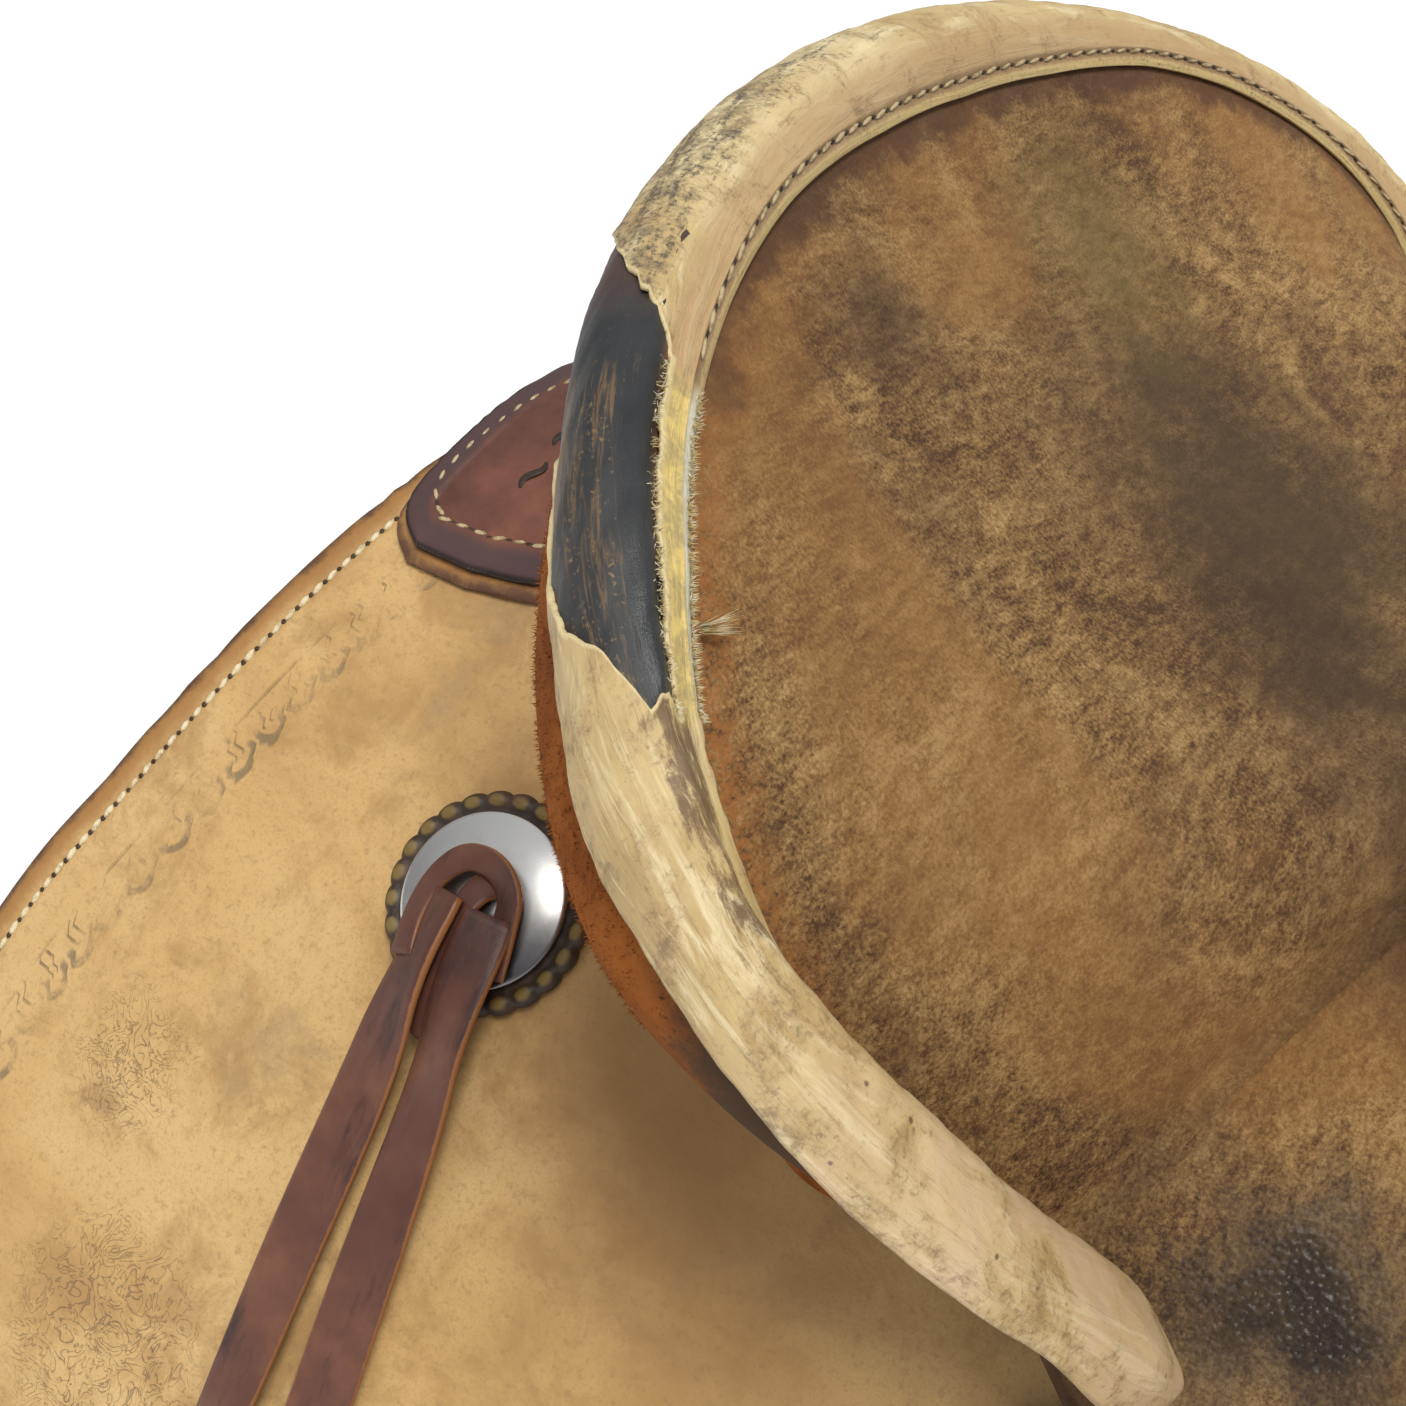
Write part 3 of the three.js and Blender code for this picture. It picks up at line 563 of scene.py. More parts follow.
# the grid is closest where the tear runs
fine_t = np.concatenate([
    np.linspace(-1, -0.602, 120), np.linspace(-0.6, -0.27, 430), np.linspace(-0.268, 1, 230),
])
rim_t, rim_fold = np.meshgrid(fine_t, np.linspace(0, 12, 53), indexing="ij")
depth = torn_depth(rim_t, rim_fold)
cut_t = trimmed_end(rim_t, rim_fold)
out, up = fold_at(rim_t, rim_fold)
out_b, up_b = fold_at(rim_t, rim_fold + 0.02)
out_a, up_a = fold_at(rim_t, rim_fold - 0.02)
facing = unit(np.stack([up_a - up_b, out_b - out_a], -1))
curl = 0.35 * np.exp(-np.clip(-depth, 0, None) / 1.1) * ease(rim_fold, 11, 9)
lump = 0.3 * ripple(
    rim_t * 60 + rim_fold * 0.7, 0.3, ((1.1, 1), (2.7, 0.8), (5.9, 0.5))
) * ease(rim_fold, 2.5, 5)
furrow, welt = np.exp(-(((rim_fold - 4.3) / 0.9) ** 2)), 0.9 * np.exp(-(((rim_fold - 6.6) / 0.7) ** 2))
crease = 1.3 * ease(np.abs(rim_t), 0.64, 0.8) * (furrow - welt)
groove = 0.5 * np.exp(-(((rim_fold - 1.75) / 0.42) ** 2))
proud = (curl + lump - crease - groove)[..., None] * facing
skin = RAWHIDE * (1 - 0.6 * np.exp(-np.clip(-depth, 0, None) / 1.0))[..., None] * facing
outer = off_rim(cut_t, out + proud[..., 0], up + proud[..., 1])
inner = off_rim(cut_t, out + (proud - skin)[..., 0], up + (proud - skin)[..., 1])


def rawhide():
    f = Finish("rawhide", 0.5, Specular_IOR_Level=0.5)
    fold_here, t = f.noted("fold"), f.noted("along")
    cloud = f.noise(24, 5, 0.6)
    patch = f.noise(75, 7, 0.68, distortion=0.6)
    speck = f.noise(950, 5, 0.78)
    scrape = f.noise(230, 9, 0.78, distortion=0.3)
    # grain and wrinkles run lengthwise, as the strip was stretched
    lengthwise = f.combine(f.times(t, 30.0), f.times(fold_here, 2.1))
    grain = f.noise(0.8, 9, 0.76, distortion=0.5, at=lengthwise)
    wrinkle = f.noise(0.42, 6, 0.62, distortion=0.9, at=lengthwise)
    base = f.ramp(cloud, (0.3, (0.47, 0.32, 0.13)), (0.5, (0.62, 0.46, 0.21)), (0.7, (0.74, 0.60, 0.33)))
    base = f.over(base, f.step(wrinkle, 0.50, 0.64), 0.8, (0.80, 0.68, 0.41))
    base = f.over(base, f.step(patch, 0.47, 0.7), 0.7, (0.40, 0.245, 0.10))
    base = f.over(base, f.step(grain, 0.52, 0.66), 0.62, (0.34, 0.215, 0.09))
    # the smooth inner flank is browner, the lower end pinker
    flank = f.times(f.step(fold_here, 5.5, 4.4), f.step(t, -0.62, -0.45))
    base = f.over(base, flank, 0.75, (0.50, 0.32, 0.155))
    low = f.times(f.step(t, -0.68, -0.84), f.step(patch, 0.66, 0.36))
    base = f.over(base, low, 0.65, (0.66, 0.46, 0.31))
    olive = f.times(f.step(t, -0.62, -0.8), f.step(fold_here, 5.6, 3.2))
    base = f.over(base, olive, 0.75, (0.42, 0.32, 0.13))
    fold_line = f.times_plus(f.math("SUBTRACT", grain, 0.5), 2.2, fold_here)
    fold_line = f.times(f.step(f.gap(fold_line, 4.1), 0.5, 0.1), f.step(t, -0.60, -0.68))
    base = f.over(base, fold_line, 0.65, (0.20, 0.13, 0.055))
    pits = f.times(f.step(f.cells(160), 0.10, 0.05), f.step(t, -0.70, -0.78))
    base = f.over(base, pits, 0.8, (0.09, 0.055, 0.03))
    # grey-black scuffing on the crest above the tear
    crest = f.times(f.step(fold_here, 4.6, 6.4), f.step(t, 0.10, -0.20))
    above_tear = f.times(crest, f.step(t, -0.42, -0.36))
    worn = f.times_plus(above_tear, 0.20, scrape)
    base = f.over(base, f.step(worn, 0.62, 0.80), 0.85, (0.25, 0.185, 0.095))
    dots = f.times_plus(above_tear, 0.12, f.times_plus(grain, 0.5, f.times(speck, 0.5)))
    base = f.over(base, f.step(dots, 0.60, 0.70), 0.9, (0.075, 0.062, 0.045))
    # brown soil below the tear, in long smears on the seat side and down the back
    under = f.times(f.step(t, -0.53, -0.585), f.step(t, -0.80, -0.64))
    under = f.times(under, f.times(f.step(fold_here, 8.4, 6.0), f.step(fold_here, 3.2, 4.4)))
    soil = f.times_plus(under, 0.20, f.times_plus(grain, 0.6, f.times(scrape, 0.4)))
    base = f.over(base, f.step(soil, 0.60, 0.72), 0.9, (0.15, 0.088, 0.04))
    rub = f.times_plus(f.step(fold_here, 8.3, 10.5), 0.12, f.times(scrape, 0.9))
    base = f.over(base, f.step(rub, 0.56, 0.70), 0.75, (0.25, 0.16, 0.08))
    grime = f.step(f.times_plus(speck, 0.55, f.times(patch, 0.5)), 0.55, 0.66)
    base = f.over(base, grime, 0.6, (0.22, 0.145, 0.07))
    # the seam: a darker band along its groove, a pale yellow cut edge
    groove_reach = f.times_plus(speck, 1.0, fold_here)
    darker_groove = f.times(f.step(groove_reach, 3.1, 2.3), f.step(groove_reach, 1.5, 2.0))
    base = f.over(base, darker_groove, 0.8, (0.24, 0.15, 0.065))
    base = f.over(base, f.step(fold_here, 1.25, 0.95), f.step(speck, 0.62, 0.5), (0.60, 0.46, 0.19))
    # in the torn stretch the flange left behind is bright yellow with a grey-white frayed edge
    torn_part = f.times(f.step(t, -0.592, -0.575), f.step(t, -0.385, -0.41))
    torn_part = f.times(torn_part, f.step(fold_here, 6.0, 5.6))
    yellow = f.mix(f.step(scrape, 0.4, 0.62), (0.82, 0.62, 0.20), (0.46, 0.36, 0.15))
    base = f.over(base, torn_part, 0.9, yellow)
    pale = f.times(torn_part, f.step(f.times_plus(speck, 3.0, fold_here), 4.2, 2.8))
    base = f.mix(pale, base, (0.70, 0.68, 0.54))
    lip = f.times_plus(f.noise(420, 5, 0.7), 1.2, f.noted("torn"))
    base = f.over(base, f.step(lip, -0.5, 0.3), 0.85, (0.74, 0.60, 0.32))
    gloss = f.times_plus(patch, 0.35, f.times_plus(f.step(t, -0.58, -0.7), -0.17, 0.34))
    return f.coat_of(
        base, ((wrinkle, 1.6, 0.5), (patch, 0.8, 0.35), (grain, 0.35, 0.55), (speck, 0.1, 0.6)), gloss
    )


rawhide_finish = rawhide()
faces, added = clipped_grid(depth)
verts, solid_faces, used = walled(
    with_crossings(outer, added), with_crossings(inner, added), [list(face) for face in faces],
)
binding = mesh_piece("rawhide_binding", verts, solid_faces, rawhide_finish)
for label, values in (("along", rim_t), ("fold", rim_fold), ("torn", depth)):
    note(binding, label, np.tile(with_crossings(values[..., None], added)[used, 0], 2))
outward(binding)
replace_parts(binding, "cantle_binding")


# Stitches, holes and fibres are small shapes that one kind of tree lays on points.
def beads_tree(name, kind):
    """Lays one small shape on every point, turned to the point's own directions."""
    tree = bpy.data.node_groups.new(name, "GeometryNodeTree")
    face = tree.interface
    face.new_socket("Points", in_out="INPUT", socket_type="NodeSocketGeometry")
    for label, value in (
        ("Length", 4.5 * mm), ("Width", 1.1 * mm), ("Height", 0.9 * mm), ("Unevenness", 0.1)
    ):
        face.new_socket(label, in_out="INPUT", socket_type="NodeSocketFloat").default_value = value
    face.new_socket("Seed", in_out="INPUT", socket_type="NodeSocketInt").default_value = 3
    face.new_socket("Finish", in_out="INPUT", socket_type="NodeSocketMaterial")
    face.new_socket("Beads", in_out="OUTPUT", socket_type="NodeSocketGeometry")
    add, link = tree.nodes.new, tree.links.new
    given, result = add("NodeGroupInput"), add("NodeGroupOutput")
    if kind == "hair":
        shape, lean = add("GeometryNodeMeshCone"), math.pi / 2
        sizes = (("Vertices", 3), ("Radius Top", 0.05), ("Radius Bottom", 0.5), ("Depth", 1.0))
    else:
        shape, lean = add("GeometryNodeMeshUVSphere"), 0
        sizes = (("Segments", 6), ("Rings", 5), ("Radius", 0.5))
    for label, value in sizes:
        shape.inputs[label].default_value = value
    lay = add("GeometryNodeTransform")
    lay.inputs["Rotation"].default_value = (0, lean, 0)
    link(shape.outputs["Mesh"], lay.inputs["Geometry"])
    size = add("ShaderNodeCombineXYZ")
    for k, label in enumerate(("Length", "Width", "Height")):
        link(given.outputs[label], size.inputs[k])
    uneven = add("FunctionNodeRandomValue")
    for k, operation in ((2, "SUBTRACT"), (3, "ADD")):
        limit = add("ShaderNodeMath")
        limit.operation = operation
        limit.inputs[0].default_value = 1
        link(given.outputs["Unevenness"], limit.inputs[1])
        link(limit.outputs[0], uneven.inputs[k])
    link(given.outputs["Seed"], uneven.inputs["Seed"])
    scaled = add("ShaderNodeVectorMath")
    scaled.operation = "SCALE"
    link(size.outputs[0], scaled.inputs[0])
    link(uneven.outputs[1], scaled.inputs["Scale"])
    turns = []
    for label, axis in (("heading", "X"), ("lift", "Z")):
        read = add("GeometryNodeInputNamedAttribute")
        read.data_type = "FLOAT_VECTOR"
        read.inputs["Name"].default_value = label
        turn = add("FunctionNodeAlignRotationToVector")
        turn.axis = axis
        if turns:
            turn.pivot_axis = "X"
            link(turns[-1].outputs["Rotation"], turn.inputs["Rotation"])
        link(read.outputs["Attribute"], turn.inputs["Vector"])
        turns.append(turn)
    lay_on = add("GeometryNodeInstanceOnPoints")
    link(given.outputs["Points"], lay_on.inputs["Points"])
    link(lay.outputs["Geometry"], lay_on.inputs["Instance"])
    link(turns[-1].outputs["Rotation"], lay_on.inputs["Rotation"])
    link(scaled.outputs["Vector"], lay_on.inputs["Scale"])
    real, smooth = add("GeometryNodeRealizeInstances"), add("GeometryNodeSetShadeSmooth")
    paint = add("GeometryNodeSetMaterial")
    link(lay_on.outputs["Instances"], real.inputs["Geometry"])
    link(real.outputs["Geometry"], smooth.inputs["Geometry"])
    link(smooth.outputs["Geometry"], paint.inputs["Geometry"])
    link(given.outputs["Finish"], paint.inputs["Material"])
    link(paint.outputs["Geometry"], result.inputs["Beads"])
    return tree


stitch_tree = beads_tree("row of stitches", "stitch")
hair_tree = beads_tree("scattered fibres", "hair")


def beads(tree, name, at, heading, lift, size, paint, body="saddle", uneven=0.1, seed=3):
    """Points and directions in millimetres become one mesh piece of stitches or fibres."""
    data = bpy.data.meshes.new(name)
    data.from_pydata((np.asarray(at) * mm).tolist(), [], [])
    for label, values in (("heading", heading), ("lift", lift)):
        made = data.attributes.new(label, "FLOAT_VECTOR", "POINT")
        made.data.foreach_set("vector", np.asarray(values, np.float32).ravel())
    seed_points = bpy.data.objects.new(name + "_points", data)
    bpy.context.scene.collection.objects.link(seed_points)
    grow = seed_points.modifiers.new("beads", "NODES")
    grow.node_group = tree
    wanted = dict(zip(("Length", "Width", "Height"), (s * mm for s in size)))
    wanted.update(Unevenness=uneven, Seed=seed, Finish=paint)
    for item in tree.interface.items_tree:
        if item.in_out == "INPUT" and item.name in wanted:
            grow[item.identifier] = wanted[item.name]
    seed_points.update_tag()
    graph = bpy.context.evaluated_depsgraph_get()
    grown = bpy.data.meshes.new_from_object(seed_points.evaluated_get(graph))
    grown.name = name
    bpy.data.objects.remove(seed_points)
    piece = bpy.data.objects.new(name, grown)
    bpy.context.scene.collection.objects.link(piece)
    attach(piece, body)
    return piece


def plain_thread(name, colour, dark):
    f = Finish(name, 0.6, Specular_IOR_Level=0.4)
    return f.coat_of(
        f.mix(f.step(f.noise(500, 4, 0.7), 0.45, 0.65), colour, dark), ((f.noise(2500, 2), 0.1, 0.6),)
    )


white_thread = plain_thread("waxed_thread", (0.50, 0.40, 0.23), (0.24, 0.17, 0.08))
cream_thread = plain_thread("cream_thread", (0.74, 0.65, 0.43), (0.46, 0.35, 0.18))
stitch_hole = plain_thread("stitch_holes", (0.050, 0.030, 0.014), (0.020, 0.012, 0.006))


def evenly(points, gap):
    """Points, headings and spare length of a line walked in equal steps."""
    steps = np.concatenate([[0], np.cumsum(np.linalg.norm(np.diff(points, axis=0), axis=1))])
    at = np.arange(gap / 2, steps[-1], gap)
    walked = np.stack([np.interp(at, steps, points[:, k]) for k in range(3)], -1)
    ahead = np.stack([np.interp(at + 0.5, steps, points[:, k]) for k in range(3)], -1)
    share = np.interp(at, steps, np.linspace(0, 1, len(points)))
    return walked, unit(ahead - walked + 1e-9), share


def seam_stitches(
    name, line, lift_at, gap=5.2, size=(4.0, 1.15, 0.9), sink=0.1, keep=None, body="saddle", slot=None,
    thread=white_thread,
):
    """A row of stitches with holes between them; lift_at(share) gives the way off the surface."""
    at, ahead, share = evenly(line, gap)
    lift = lift_at(share)
    side_step = np.cross(lift, ahead)
    chosen = np.ones(len(at), bool) if keep is None else keep(share)
    heading = unit(ahead + side_step * 0.16)
    at, ahead, heading, lift = at[chosen], ahead[chosen], heading[chosen], lift[chosen]
    beads(stitch_tree, name, at - lift * sink, heading, lift, size, thread, body)
    between = at + ahead * gap / 2 - lift * (sink + 0.1)
    hole_size = (gap - size[0] + 0.5, size[1] * 0.9, size[2] * 0.6)
    beads(stitch_tree, name + "_holes", between, ahead, lift, hole_size, stitch_hole, body)


# The seam shows as a row of short waxed stitches with dark holes between them.
seam_t = np.linspace(-BINDING_END, BINDING_END, 900)
seam_fold = np.full_like(seam_t, 1.75)
seam_out, seam_up = fold_at(seam_t, seam_fold)
seam_line = off_rim(trimmed_end(seam_t, seam_fold), seam_out, seam_up)


def seam_facing(share):
    t = np.interp(share, (0, 1), (-BINDING_END, BINDING_END))
    a, b = fold_at(t, np.full_like(t, 1.7)), fold_at(t, np.full_like(t, 1.8))
    _, o, u = rim_frame(t)
    return unit(o * (a[1] - b[1])[:, None] + u * (b[0] - a[0])[:, None])


def seam_whole(share):
    """No stitches are left where the strip is torn."""
    t = share * 1.97 - BINDING_END
    return (t < -0.59) | (t > -0.388)


seam_stitches(
    "binding_stitches", seam_line, seam_facing, 6.2, (4.8, 0.9, 0.7), 0.25, seam_whole, slot="rawhide"
)

# ---------- torn edge's fibres ----------
# Rawhide frays into stiff pale fibres where it has split, thickest along the flange left in the seam.
# A small tuft of pulled thread stands up out of the torn seam.
chance = np.random.default_rng(11)


def pale_fibre():
    f = Finish("frayed_fibre", 0.8, Specular_IOR_Level=0.3)
    colour = f.mix(f.step(f.noise(600, 3), 0.4, 0.6), (0.78, 0.72, 0.52), (0.60, 0.45, 0.18))
    return f.coat_of(colour, ((f.noise(3000, 2), 0.05, 0.4),))


fibre_finish = pale_fibre()
count = 1100
fray_t = chance.uniform(-0.584, -0.392, count)
fray_fold = np.where(
    chance.random(count) < 0.7, chance.uniform(0.2, 1.4, count), chance.uniform(4.7, 5.1, count)
)
fray_out, fray_up = fold_at(fray_t, fray_fold)
_, fray_o, fray_u = rim_frame(fray_t)
fray_at = off_rim(fray_t, fray_out, fray_up + 0.15)
fray_head = unit(
    fray_o * chance.normal(-0.9, 0.6, (count, 1)) + fray_u * chance.normal(0.5, 0.4, (count, 1))
    + chance.normal(0, 0.45, (count, 3))
)
beads(
    hair_tree, "frayed_edge", fray_at, fray_head, fray_u, (0.95, 0.16, 0.16), fibre_finish,
    uneven=0.6
)
TUFT, TUFT_T = 26, -0.532
tuft_t = np.full(TUFT, TUFT_T) + chance.normal(0, 0.0012, TUFT)
tuft_fold = fold_at(np.full(TUFT, TUFT_T), np.full(TUFT, 0.6))
tuft_at = off_rim(tuft_t, *[v + chance.normal(0, 0.25, TUFT) for v in tuft_fold])
tuft_head = unit(np.array([0.72, 0.62, 0.25]) + chance.normal(0, 0.16, (TUFT, 3)))
reach = chance.uniform(1.0, 2.0, (TUFT, 1))
beads(
    hair_tree, "thread_tuft", tuft_at + tuft_head * reach, tuft_head, np.tile([0, 0, 1.0], (TUFT, 1)),
    (4.4, 0.22, 0.22), fibre_finish, uneven=0.3,
)

# ---------- leather filler ----------
# The filler under the rawhide is black harness leather, burnished glossy where the tear lays it open.
# It packs the fold from end to end and stands a little prouder in the open stretch.
core_t = np.concatenate([
    np.linspace(
        -BINDING_END, -0.62, 24
    ), np.linspace(-0.615, -0.25, 150), np.linspace(-0.24, BINDING_END, 60),
])
core_along, core_fold = np.meshgrid(core_t, np.linspace(2.6, 12, 40), indexing="ij")
core_out, core_up = fold_at(core_along, core_fold)
middle_out, middle_up = 0.5 * (core_out[:, :1] + core_out[:, -1:]), 0.5
reach = np.hypot(core_out - middle_out, core_up - middle_up)
bared = ease(core_along, -0.60, -0.565) * ease(core_along, -0.27, -0.31)
shrink = 1 - (RAWHIDE + 0.35) * (1 - 0.72 * bared) / reach
ridge = 0.7 * np.exp(-(((core_out + 3.4) / 1.6) ** 2)) * (core_up > 0)
dent = 0.3 * ripple(core_along * 70 + core_fold * 1.5, 1.1, ((0.8, 1), (2.2, 0.7), (4.9, 0.4)))
shrink = shrink + (ridge * bared + dent - 0.2) / reach
core_out = middle_out + (core_out - middle_out) * shrink
core_up = middle_up + (core_up - middle_up) * shrink
core_grid = off_rim(core_along, core_out, core_up)


def black_filler():
    f = Finish("black_filler_leather", 0.3, Specular_IOR_Level=0.5)
    t, side = f.noted("along"), f.noted("side")
    lengthwise = f.combine(f.times(t, 26.0), f.times(side, 1.1))
    cloud = f.noise(60, 5, 0.6)
    scratch = f.noise(1.1, 9, 0.8, distortion=0.3, at=lengthwise)
    worn = f.noise(0.55, 9, 0.76, distortion=0.5, at=lengthwise)
    cross_cuts = f.noise(1.0, 4, 0.6, at=f.combine(f.times(t, 900.0), f.times(side, 0.35)))
    speck = f.noise(1100, 4, 0.75)
    base = f.ramp(
        cloud, (0.35, (0.018, 0.020, 0.022)), (0.6, (0.032, 0.033, 0.034)), (0.8, (0.055, 0.047, 0.040))
    )
    # worn brown on the outer flank, most in its middle and at the lower end
    flank = f.times(f.step(side, -2.0, 1.5), f.step(t, -0.36, -0.42))
    brown = f.times_plus(flank, 0.10, worn)
    base = f.over(base, f.step(brown, 0.58, 0.70), 0.8, (0.165, 0.098, 0.042))
    bright = f.times_plus(flank, 0.06, f.times_plus(scratch, 0.5, f.times(speck, 0.5)))
    base = f.mix(f.step(bright, 0.60, 0.68), base, (0.23, 0.145, 0.062))
    base = f.over(base, f.step(cross_cuts, 0.70, 0.78), 0.5, (0.14, 0.13, 0.12))
    # dark red where the tear has only just opened, orange along the seam
    upper = f.times_plus(f.noise(90, 5, 0.7), 0.10, t)
    base = f.over(base, f.step(upper, -0.325, -0.28), 0.85, (0.075, 0.036, 0.026))
    base = f.over(base, f.step(f.times_plus(speck, 1.4, side), -3.9, -5.2), 0.9, (0.17, 0.075, 0.033))
    crest = f.step(f.math("ABSOLUTE", f.math("ADD", side, 1.9)), 0.4, 3.2)
    gloss = f.times_plus(crest, 0.30, f.times_plus(scratch, 0.24, 0.12))
    return f.coat_of(
        base, ((worn, 0.5, 0.3), (scratch, 0.22, 0.4), (cross_cuts, 0.08, 0.4), (speck, 0.06, 0.5)), gloss
    )


core = mesh_piece(
    "leather_filler", core_grid.reshape(-1, 3), capped_tube(
        *core_along.shape
    ), black_filler(),
)
note(core, "along", core_along)
note(core, "side", core_out)
outward(core)
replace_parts(core, "cantle_filler")

# ---------- seat ----------
# One piece of rough-out cowhide, dished at the cantle and rolling down each side into a jockey.
# It is formed wet over the ground seat and caught under the binding's seam at the cantle.
SEAT_LOW = np.array([-20, 0, 48.0])
JOCKEY_LIFT = 29
JOCKEY_LINE = np.array([
    off_rim(-1, -11.9, -7), on_back(-36, -140, 13), on_back(-12, -170, 16), on_back(
        34, -186, JOCKEY_LIFT + 4
    ),
    on_back(110, -188, JOCKEY_LIFT), on_back(154, -160, JOCKEY_LIFT), (182, -118, -16), (184, -60, 50),
    (184, -28, 70), (184, 0, 74),
])


def seat_edge(s):
    """The seat's edge on the off side: 0 at the rear, over the jockey, 1 at the fork."""
    s = np.asarray(s, float)
    t = -2 * np.clip(s, 0, 0.5)
    by_rim = off_rim(t, -11.2 + seam_tuck(t), -6.3 + seam_lift(t))
    by_jockey = spline_at(JOCKEY_LINE, 2 * np.clip(s, 0.5, 1) - 1)
    return np.where((s <= 0.5)[..., None], by_rim, by_jockey)


def seat_at(loop, out):
    """loop runs once round the seat from the rear; out is 0 at the low point and 1 at the edge."""
    near_side = loop <= 0.5
    s = np.where(near_side, 2 * loop, 2 - 2 * loop)
    edge = seat_edge(s)
    bend = 2.6 - 0.5 * ease(s, 0.3, 0.95)
    z = SEAT_LOW[2] + (edge[..., 2] - SEAT_LOW[2]) * out**bend
    y = edge[..., 1] * out * np.where(near_side, 1, -1)
    return np.stack([SEAT_LOW[0] + (edge[..., 0] - SEAT_LOW[0]) * out, y, z], -1)


def seat_normal(loop, out):
    o = np.clip(out, 0.02, 0.99)
    onward = seat_at((loop + 0.004) % 1, o) - seat_at((loop + 0.996) % 1, o)
    away = seat_at(loop, o + 0.01) - seat_at(loop, o - 0.01)
    n = unit(np.cross(onward, away))
    n = np.where(n[..., 2:] < 0, -n, n)
    return np.where((out < 0.03)[..., None], np.array([0, 0, 1.0]), n)


seat_loop, seat_out = np.meshgrid(
    np.linspace(0, 1, 300, endpoint=False), 1 - np.linspace(1, 0, 76) ** 1.25, indexing="ij"
)
seat_up = seat_normal(seat_loop, seat_out)
round_off = 1.6 * np.clip((seat_out - 0.985) / 0.015, 0, 1) ** 2 * ease(
    np.minimum(seat_loop, 1 - seat_loop), 0.235, 0.27
)
seat_top = seat_at(seat_loop, seat_out) - seat_up * round_off[..., None]
seat_under = seat_at(seat_loop, seat_out) - seat_up * 4


def rough_out():
    f = Finish("seat_rough_out", 0.85, Specular_IOR_Level=0.3)
    wide = f.noise(9, 6, 0.6, distortion=0.8)
    blotch = f.noise(26, 9, 0.7, distortion=0.8)
    # scratches run from the rear of the dish down towards its off-side front
    turn = f.node("ShaderNodeMapping")
    f.put(turn.inputs["Vector"], f.place)
    turn.inputs["Rotation"].default_value = (0.35, 0.1, 0.95)
    turn.inputs["Scale"].default_value = (1.0, 0.28, 0.6)
    streak = f.noise(170, 9, 0.78, distortion=0.4, at=turn.outputs["Vector"])
    long_streak = f.noise(48, 9, 0.75, distortion=0.6, at=turn.outputs["Vector"])
    nap = f.noise(820, 7, 0.8)
    hair = f.noise(2100, 3, 0.7)
    fleck = f.noise(1500, 4, 0.72)
    hatch = f.noise(560, 6, 0.75, distortion=0.3, at=turn.outputs["Vector"])
    worn = f.times_plus(hatch, 0.36, f.times_plus(fleck, 0.36, f.times(blotch, 0.28)))
    base = f.ramp(
        worn, (0.425, (0.085, 0.040, 0.018)), (0.475, (0.22, 0.115, 0.042)), (0.525, (0.37, 0.215, 0.077)),
        (0.59, (0.56, 0.36, 0.15))
    )
    base = f.over(base, f.step(long_streak, 0.47, 0.62), 0.42, (0.12, 0.060, 0.026))
    base = f.over(base, f.step(wide, 0.46, 0.60), 0.5, (0.40, 0.19, 0.055))
    base = f.over(base, f.step(streak, 0.56, 0.68), 0.5, (0.50, 0.31, 0.12))
    # olive towards the near side, a dark patch by the tear, and painted shade that darkens the dish towards
    # its front
    base = f.over(base, f.near((-106, -6, 62), 84, 0.95, 0.5), 0.9, (0.085, 0.052, 0.026))
    base = f.over(base, f.near((-163, 20, 92), 42, 0.9, 0.5), 0.6, (0.16, 0.115, 0.036))
    base = f.over(base, f.near((-168, -72, 93), 28, 0.9, 0.6, 90), 0.8, (0.060, 0.028, 0.016))
    # painted shade: the dish darker towards its front
    base = f.over(base, f.near((-88, -42, 56), 36, 0.9, 0.8, 70), 0.7, (0.07, 0.038, 0.020))
    base = f.over(base, f.near((-58, -66, 42), 46, 0.95, 0.7, 60), 0.75, (0.075, 0.040, 0.022))
    seam = f.times_plus(f.noise(60, 6, 0.7), 0.10, f.noted("out"))
    orange = f.times(f.step(seam, 0.995, 1.035), f.step(nap, 0.40, 0.56))
    shoulder = f.near((-110, -135, 40), 108, 0.4, 0.3)
    base = f.over(base, f.times(orange, shoulder), 0.85, (0.43, 0.165, 0.040))
    top_edge = f.times(f.step(seam, 1.01, 1.035), f.math("SUBTRACT", 1.0, shoulder))
    base = f.over(base, top_edge, 0.8, (0.10, 0.045, 0.024))
    jockey_edge = f.times(f.step(f.noted("out"), 0.984, 0.993), f.noted("free"))
    base = f.mix(jockey_edge, base, (0.05, 0.022, 0.012))
    # black polish where the rider's thigh rubs
    polish = f.near((-46, -126, -14), 44, 0.9, 0.55, 55)
    base = f.over(base, polish, 0.95, (0.014, 0.011, 0.010))
    pebble = f.cells(900, "SMOOTH_F1")
    relief = f.times(f.math("SUBTRACT", 1.0, polish), nap)
    rubbed = f.times(polish, pebble)
    gloss = f.times_plus(polish, -0.52, f.times_plus(streak, 0.2, 0.70))
    return f.coat_of(
        base,
        ((wide, 3, 0.25), (blotch, 0.8, 0.3), (relief, 0.7, 1.0), (rubbed, 0.6, 0.8), (hair, 0.12, 0.6)),
        gloss
    )


